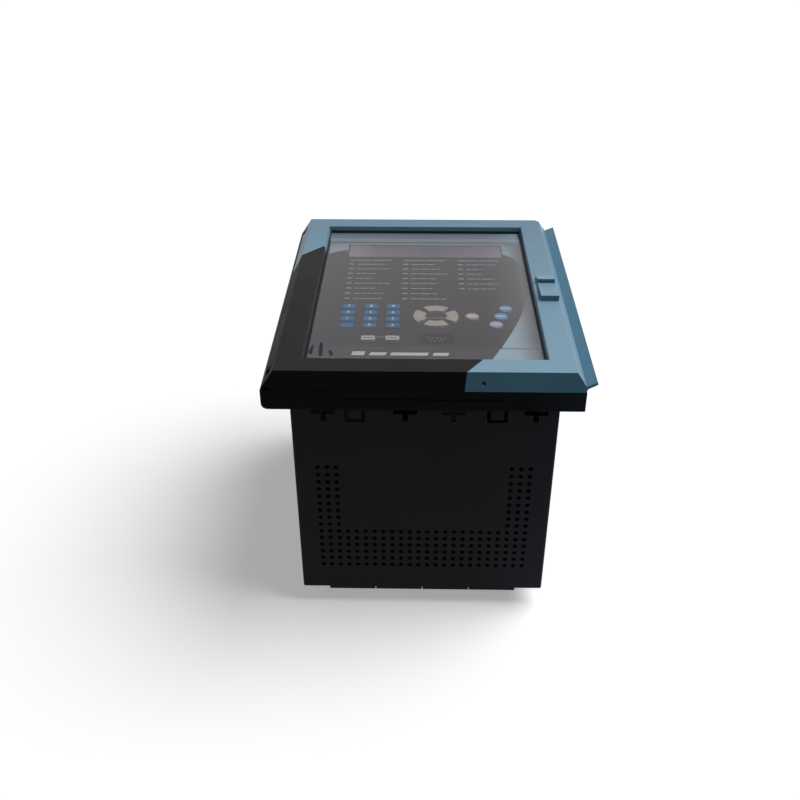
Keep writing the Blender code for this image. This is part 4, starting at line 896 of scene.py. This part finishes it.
def make_keys():
    for name, outline, (x, y), material, slot in key_outlines():
        flange_top = PLATE_BACK - GAP
        flange = prism(outline(1.0), "z", flange_top - 1.2, flange_top)
        cap = prism(outline(0.0), "z", flange_top - 0.6, KEY_TOP)
        stem = box(x - 1.8, x + 1.8, y - 1.8, y + 1.8, -22.7, flange_top - 0.6)
        key = shaped("cap_" + name, [flange, cap, stem])
        round_edges(key, 0.5, 3)
        smooth(key, 50.0)
        dress(key, "key_" + name, material, ["key_" + name])
        mark = MARKS.get(name, name)
        if len(mark) == 1:
            write(mark, "digit_" + name, x, y, 5.2, "key_" + name)


def write(text, name, x, y, size, body):
    """A printed character, middle at x and y, on a key's top."""
    curve = bpy.data.curves.new(name, "FONT")
    curve.body = text
    curve.size = size * 0.001
    curve.align_x = "CENTER"
    curve.align_y = "CENTER"
    curve.extrude = 0.00003
    curve.resolution_u = 4
    source = linked(name + "_curve", curve)
    data = evaluated_mesh(source)
    bpy.data.objects.remove(source, do_unlink=True)
    data.transform(Matrix.Translation(place((x, y, KEY_TOP + 0.02))))
    dress(linked(name, data), body, INK_WHITE)


# Lamp columns: middle, number of lamps, and where the captions end
LAMPS = ((-62.9, 8, -27.0), (-15.4, 8, 24.0), (32.6, 6, 66.0))


def lamp_rows():
    """The middle of every lamp, and where its caption ends."""
    for x, count, end in LAMPS:
        for row in range(count):
            yield x, LAMP_TOP - LAMP_PITCH * row, end


def port_outline(grow):
    wide = 11.5 + grow
    narrow = 9.3 + grow
    high = 6.0 + grow
    return [(PORT_X - wide, PORT_Y + high), (PORT_X - narrow, PORT_Y - high),
            (PORT_X + narrow, PORT_Y - high), (PORT_X + wide, PORT_Y + high)]


def plate_holes(low, high):
    """Openings for the keys, the display, the port and the lamps."""
    holes = [prism(outline(GAP), "z", low, high) for _, outline, _, _, _ in key_outlines()]
    holes.append(box(*grown(DISPLAY, GAP), low, high))
    holes.append(prism(port_outline(GAP), "z", low, high))
    holes += [box(x - 2.4, x + 2.4, y - 1.3, y + 1.3, low, high) for x, y, _ in lamp_rows()]
    return holes


def smooth_curve(points, steps=10):
    """A Catmull-Rom curve through points."""
    padded = [points[0]] + list(points) + [points[-1]]
    made = []
    for i in range(len(points) - 1):
        a, b, c, d = (Vector(p) for p in padded[i:i + 4])
        for step in range(steps):
            t = step / steps
            bow = (2 * a - 5 * b + 4 * c - d) * t * t
            p = 0.5 * (2 * b + (c - a) * t + bow + (3 * b - a - 3 * c + d) * t ** 3)
            made.append((p.x, p.y))
    made.append(tuple(points[-1]))
    return made


def dark_field():
    """The dark field's edge: a rise at the upper left, and a sweep down the right side."""
    rise = smooth_curve([(-91.4, 93.0), (-86.0, 97.8), (-77.0, 103.4), (-68.5, 106.8)])
    sweep = smooth_curve([(71.2, 98.9), (81.1, 88.8), (86.8, 71.6), (89.2, 38.6), (88.4, 20.9), (81.7, -9.1),
                          (70.8, -45.8), (51.9, -94.2), (36.0, -126.0)])
    return rise, sweep


def make_faceplate():
    """The faceplate and the films on it: the printed dark field and stripe, a dark band round the display as
    painted shadow, and a top strip as painted light.
    """
    through = (PLATE_Z - 1.0, PLATE_Z + 1.0)
    foot = HANDLE_TOP + GAP
    plate = shaped("front_plate", [box(PLATE_LEFT, PLATE_RIGHT, foot, PLATE_TOP, PLATE_BACK, PLATE_Z)],
                   plate_holes(PLATE_BACK - 1.0, PLATE_Z + 1.0))
    smooth(plate)
    dress(plate, "relay", FILM_LIGHT, ["faceplate"])
    rise, sweep = dark_field()
    upper = [p for p in sweep if p[1] > foot]
    outline = rise + [(-68.5, 98.9)] + upper + [(upper[-1][0], foot + 0.02), (PLATE_LEFT, foot + 0.02)]
    field = shaped("dark_field", [prism(outline, "z", PRINT_LOW, PRINT_TOP)], plate_holes(*through))
    dress(field, "relay", FILM_DARK)
    # Painted shadow: a dark band round the display, widest along its top, where the recess's walls shade the
    # film.
    band = box(-67.9, 71.2, 91.2, 118.9, PRINT_LOW, PLATE_Z + 0.12)
    recess_shadow = shaped("display_recess_shadow", [band], [box(-66.7, 70.2, 91.7, 117.2, *through)])
    dress(recess_shadow, "relay", PLATE_BLACK)
    # Painted light: the lighter strip above the display.
    strip = shaped("top_strip_painted_light", [box(PLATE_LEFT, PLATE_RIGHT, 119.0, PLATE_TOP, PRINT_LOW, PLATE_Z + 0.08)])
    dress(strip, "relay", FILM_TOP_PAINTED_LIGHT)
    line = [(x, y + 1.9) for x, y in rise] + [(x, y + 0.2) for x, y in reversed(rise)]
    stripe = mesh_object("field_stripe", [prism(line, "z", PRINT_LOW, PRINT_TOP)])
    dress(stripe, "relay", FILM_PALE)
    make_handle_film(sweep)


# The title's plain bars: left, right and top
TITLE = ((-53.4, -42.8, -85.2), (-40.2, -26.8, -86.6), (-24.6, 4.4, -86.6), (7.0, 19.6, -86.6))


def make_handle_film(sweep):
    """The label on the locking handle, short of the handle's dark upper edge."""
    left, right = HANDLE_FILM_X
    top = HANDLE_TOP - 1.4
    foot = HANDLE_FOOT + 0.5
    notch = [box(CASE_X - 7.5, CASE_X + 7.5, HANDLE_FOOT - 1.0, -113.9, HANDLE_Z - 1.0, HANDLE_Z + 1.0)]
    light = shaped("handle_film", [box(left, right, foot, top, HANDLE_Z + 0.005, HANDLE_Z + 0.08)], notch)
    dress(light, "relay", FILM_LIGHT)
    lower = [p for p in sweep if foot < p[1] < top]
    outline = [(left, top), (lower[0][0], top)] + lower + [(lower[-1][0], foot), (left, foot)]
    dark = shaped("handle_field", [prism(outline, "z", HANDLE_Z + 0.09, HANDLE_Z + 0.15)], notch)
    dress(dark, "relay", FILM_DARK)
    base = -91.0
    lean = 1.2
    bars = []
    for start, stop, high in TITLE:
        slant = [(start, base), (stop - lean, base), (stop, high), (start + lean, high)]
        bars.append(prism(slant, "z", HANDLE_Z + 0.15, HANDLE_Z + 0.19))
    title = mesh_object("title_bars", bars)
    dress(title, "relay", INK_PALE)


def caption_bars():
    """Broken bars that stand for the captions beside the lamps and over their columns."""
    draw = random.Random(7)
    half = 0.75
    heading = (83.0, 84.6)
    bars = []
    for x, y, end in lamp_rows():
        stop = end - draw.uniform(0.0, 17.0)
        cursor = x + 5.0
        while cursor < stop:
            length = draw.uniform(3.2, 8.5)
            bars.append((cursor, min(cursor + length, stop), y - half, y + half))
            cursor += length + 1.1
    for x, _, _ in LAMPS:
        bars.append((x - 2.0, x + 16.0, *heading))
        bars.append((x + 17.5, x + 35.0, *heading))
    return bars


def make_printing():
    """Captions, the lines by the arrow keys and the small keys, and the bars on the named keys."""
    low = PRINT_TOP
    top = low + 0.04
    captions = mesh_object("captions", [box(*bar, low, top) for bar in caption_bars()])
    dress(captions, "relay", INK_GREY)
    lines = [box(-36.4, -29.2, -61.4, -60.6, low, top), box(0.5, 19.5, -28.6, -27.6, low, top)]
    rules = mesh_object("rules", lines)
    dress(rules, "relay", INK_GREY)
    printed = [(name, x, y, 3.6, 0.6, INK_WHITE) for name, x, y, _, _ in ROUND_KEYS]
    printed += [(name, x, y, 3.4, 0.5, INK_DARK) for name, x, y in SMALL_KEYS]
    for name, x, y, half_x, half_y, ink in printed:
        bar = box(x - half_x, x + half_x, y - half_y, y + half_y, KEY_TOP + 0.01, KEY_TOP + 0.05)
        dress(mesh_object("mark_" + name, [bar]), "key_" + name, ink)


def make_port():
    """The serial port's dark rim, its insert and its nine pins."""
    front = -16.6
    rim = shaped("port_rim", [prism(port_outline(2.2), "z", PLATE_Z + 0.11, PLATE_Z + 0.16)],
                 [prism(port_outline(0.28), "z", PLATE_Z - 1.0, PLATE_Z + 1.0)])
    dress(rim, "relay", PLATE_BLACK)
    insert = shaped("port_insert", [prism(port_outline(-2.0), "z", -20.6, front)])
    dress(insert, "relay", PORT_DARK)
    places = [(PORT_X + (i - 2) * 3.1, -61.0) for i in range(5)]
    places += [(PORT_X + (i - 1.5) * 3.1, -65.2) for i in range(4)]
    shapes = [prism(circle(x, y, 0.8, 12), "z", front + 0.01, -16.4) for x, y in places]
    pins = mesh_object("port_pins", shapes)
    dress(pins, "relay", PORT_PIN)


# Rear terminal screws

SCREW_ROWS = 12
BLOCK_GAP = 6.0


def screw_places():
    """The middle and radius of every screw, two columns a block."""
    spacing = (2 * CASE_HALF_X - 39.6 + 0.6) / 4
    floor_y = CASE_HALF_Y - 16.5
    low_height = 0.432 * floor_y * 2
    high_height = 0.524 * floor_y * 2 - BLOCK_GAP
    places = []
    for index in range(4):
        x = CASE_X + (index - 1.5) * spacing
        for row in range(SCREW_ROWS):
            y = -floor_y + (row + 0.5) * low_height / SCREW_ROWS
            places += [(x - 12.6, y, 2.7), (x + 12.6, y, 2.7)]
    for sign in (-1, 1):
        x = CASE_X + sign * spacing
        for row in range(SCREW_ROWS):
            y = -floor_y + low_height + BLOCK_GAP + (row + 0.5) * high_height / SCREW_ROWS
            places += [(x - 13.0, y, 3.0), (x + 13.0, y, 3.0)]
    return places


def make_terminal_screws():
    """Screws in the cells of the terminal blocks."""
    draw = random.Random(3)
    mesh = bmesh.new()
    for x, y, radius in screw_places():
        head(mesh, x, y, FLOOR_Z + 3.85, radius, 2.2, draw.uniform(0, math.pi))
    data = bpy.data.meshes.new("terminal_screws")
    mesh.to_mesh(data)
    mesh.free()
    data.shade_smooth()
    data.set_sharp_from_angle(angle=math.radians(35.0))
    dress(linked("terminal_screws", data), "relay", ZINC)


def head(mesh, x, y, z, radius, height, turn):
    """A round head that faces down, with two crossed slots drawn on it."""
    sides = 18
    rings = []
    for scale, drop in ((1.0, 0.0), (1.0, height * 0.6), (0.8, height)):
        points = []
        for i in range(sides):
            angle = turn + 2 * math.pi * i / sides
            point = (x + radius * scale * math.cos(angle), y + radius * scale * math.sin(angle), z - drop)
            points.append(mesh.verts.new(place(point)))
        rings.append(points)
    for a, b in zip(rings, rings[1:]):
        for i in range(sides):
            j = (i + 1) % sides
            mesh.faces.new((a[j], a[i], b[i], b[j]))
    mesh.faces.new(rings[-1])
    mesh.faces.new(list(reversed(rings[0])))
    centre = Vector((x, y, z - height - 0.02))
    for slot_turn in (turn, turn + math.pi / 2):
        long = Vector((math.cos(slot_turn), math.sin(slot_turn), 0.0)) * radius * 0.62
        wide = Vector((-math.sin(slot_turn), math.cos(slot_turn), 0.0)) * 0.38
        corners = [centre + long + wide, centre - long + wide, centre - long - wide, centre + long - wide]
        mesh.faces.new([mesh.verts.new(place(corner)) for corner in corners])


# Light, floor and camera


def lit_background(tree, seen, lit):
    """One look where it is seen directly, mirrored or through glass, and another for the light it gives."""
    path = node(tree, "ShaderNodeLightPath")
    direct = arithmetic(tree, "MAXIMUM", path.outputs["Is Camera Ray"], path.outputs["Is Glossy Ray"])
    shown = arithmetic(tree, "MAXIMUM", direct, path.outputs["Is Transmission Ray"])
    return mix_shaders(tree, shown, lit, seen)


def make_world():
    world = bpy.data.worlds.new("studio")
    bpy.context.scene.world = world
    world.use_nodes = True
    tree = world.node_tree
    tree.nodes.clear()
    output = node(tree, "ShaderNodeOutputWorld")
    seen = node(tree, "ShaderNodeBackground")
    seen.inputs["Color"].default_value = WHITE
    lit = node(tree, "ShaderNodeBackground")
    lit.inputs["Color"].default_value = (0.80, 0.91, 1.0, 1.0)
    lit.inputs["Strength"].default_value = 0.105
    tree.links.new(lit_background(tree, seen.outputs[0], lit.outputs[0]), output.inputs["Surface"])


def make_floor():
    """A pale floor that the camera sees near white; what it throws back on the relay is dimmer."""
    half = 6.0
    below = 0.0005
    mesh = bpy.data.meshes.new("floor")
    corners = [(-half, -half, 0), (half, -half, 0), (half, half, 0), (-half, half, 0)]
    mesh.from_pydata(corners, [], [(0, 1, 2, 3)])
    floor = linked("floor", mesh)
    floor.location.z = -below
    made = bpy.data.materials.new("floor")
    made.use_nodes = True
    tree = made.node_tree
    tree.nodes.clear()
    output = node(tree, "ShaderNodeOutputMaterial")
    pale = node(tree, "ShaderNodeBsdfDiffuse")
    pale.inputs["Color"].default_value = grey(0.8)
    glow = node(tree, "ShaderNodeEmission")
    glow.inputs["Strength"].default_value = 0.34
    seen = node(tree, "ShaderNodeAddShader")
    tree.links.new(pale.outputs["BSDF"], seen.inputs[0])
    tree.links.new(glow.outputs["Emission"], seen.inputs[1])
    dim = node(tree, "ShaderNodeBsdfDiffuse")
    dim.inputs["Color"].default_value = grey(0.16)
    tree.links.new(lit_background(tree, seen.outputs[0], dim.outputs[0]), output.inputs["Surface"])
    made.cycles.emission_sampling = "NONE"
    floor.data.materials.append(made)


def make_light(name, direction, angle, strength):
    """A distant soft lamp that shines along a direction."""
    data = bpy.data.lights.new(name, "SUN")
    data.angle = math.radians(angle)
    data.energy = strength
    linked(name, data).rotation_euler = Vector(direction).to_track_quat("-Z", "Y").to_euler()


def make_camera():
    """The photograph's camera, from a fit to the relay's corners; its first four sizes are in pixels."""
    picture = 800.0
    focal = 964.19
    shift_right = -3.0
    shift_up = 50.0
    sensor = 36.0
    elevation = math.radians(34.62)
    azimuth = math.radians(-1.07)
    roll = math.radians(-0.06)
    forward = Vector((math.sin(azimuth) * math.cos(elevation), math.cos(azimuth) * math.cos(elevation),
                      -math.sin(elevation)))
    right = Vector((math.cos(azimuth), -math.sin(azimuth), 0.0))
    down = forward.cross(right)
    turned_right = math.cos(roll) * right - math.sin(roll) * down
    turned_down = math.sin(roll) * right + math.cos(roll) * down
    data = bpy.data.cameras.new("camera")
    data.sensor_width = sensor
    data.lens = focal / picture * sensor
    data.shift_x = shift_right / picture
    data.shift_y = shift_up / picture
    camera = linked("camera", data)
    turn = Matrix((turned_right, -turned_down, -forward)).transposed().to_4x4()
    camera.matrix_world = Matrix.Translation(place((-3.19, -718.47, 333.01))) @ turn
    bpy.context.scene.camera = camera


bpy.context.scene.view_settings.view_transform = "Standard"
make_camera()
make_world()
make_floor()
make_light("key", (-0.66, -0.16, -1.0), 48.0, 2.9)
make_door()
make_collar()
make_case()
make_faceplate()
make_keys()
make_printing()
make_port()
make_terminal_screws()
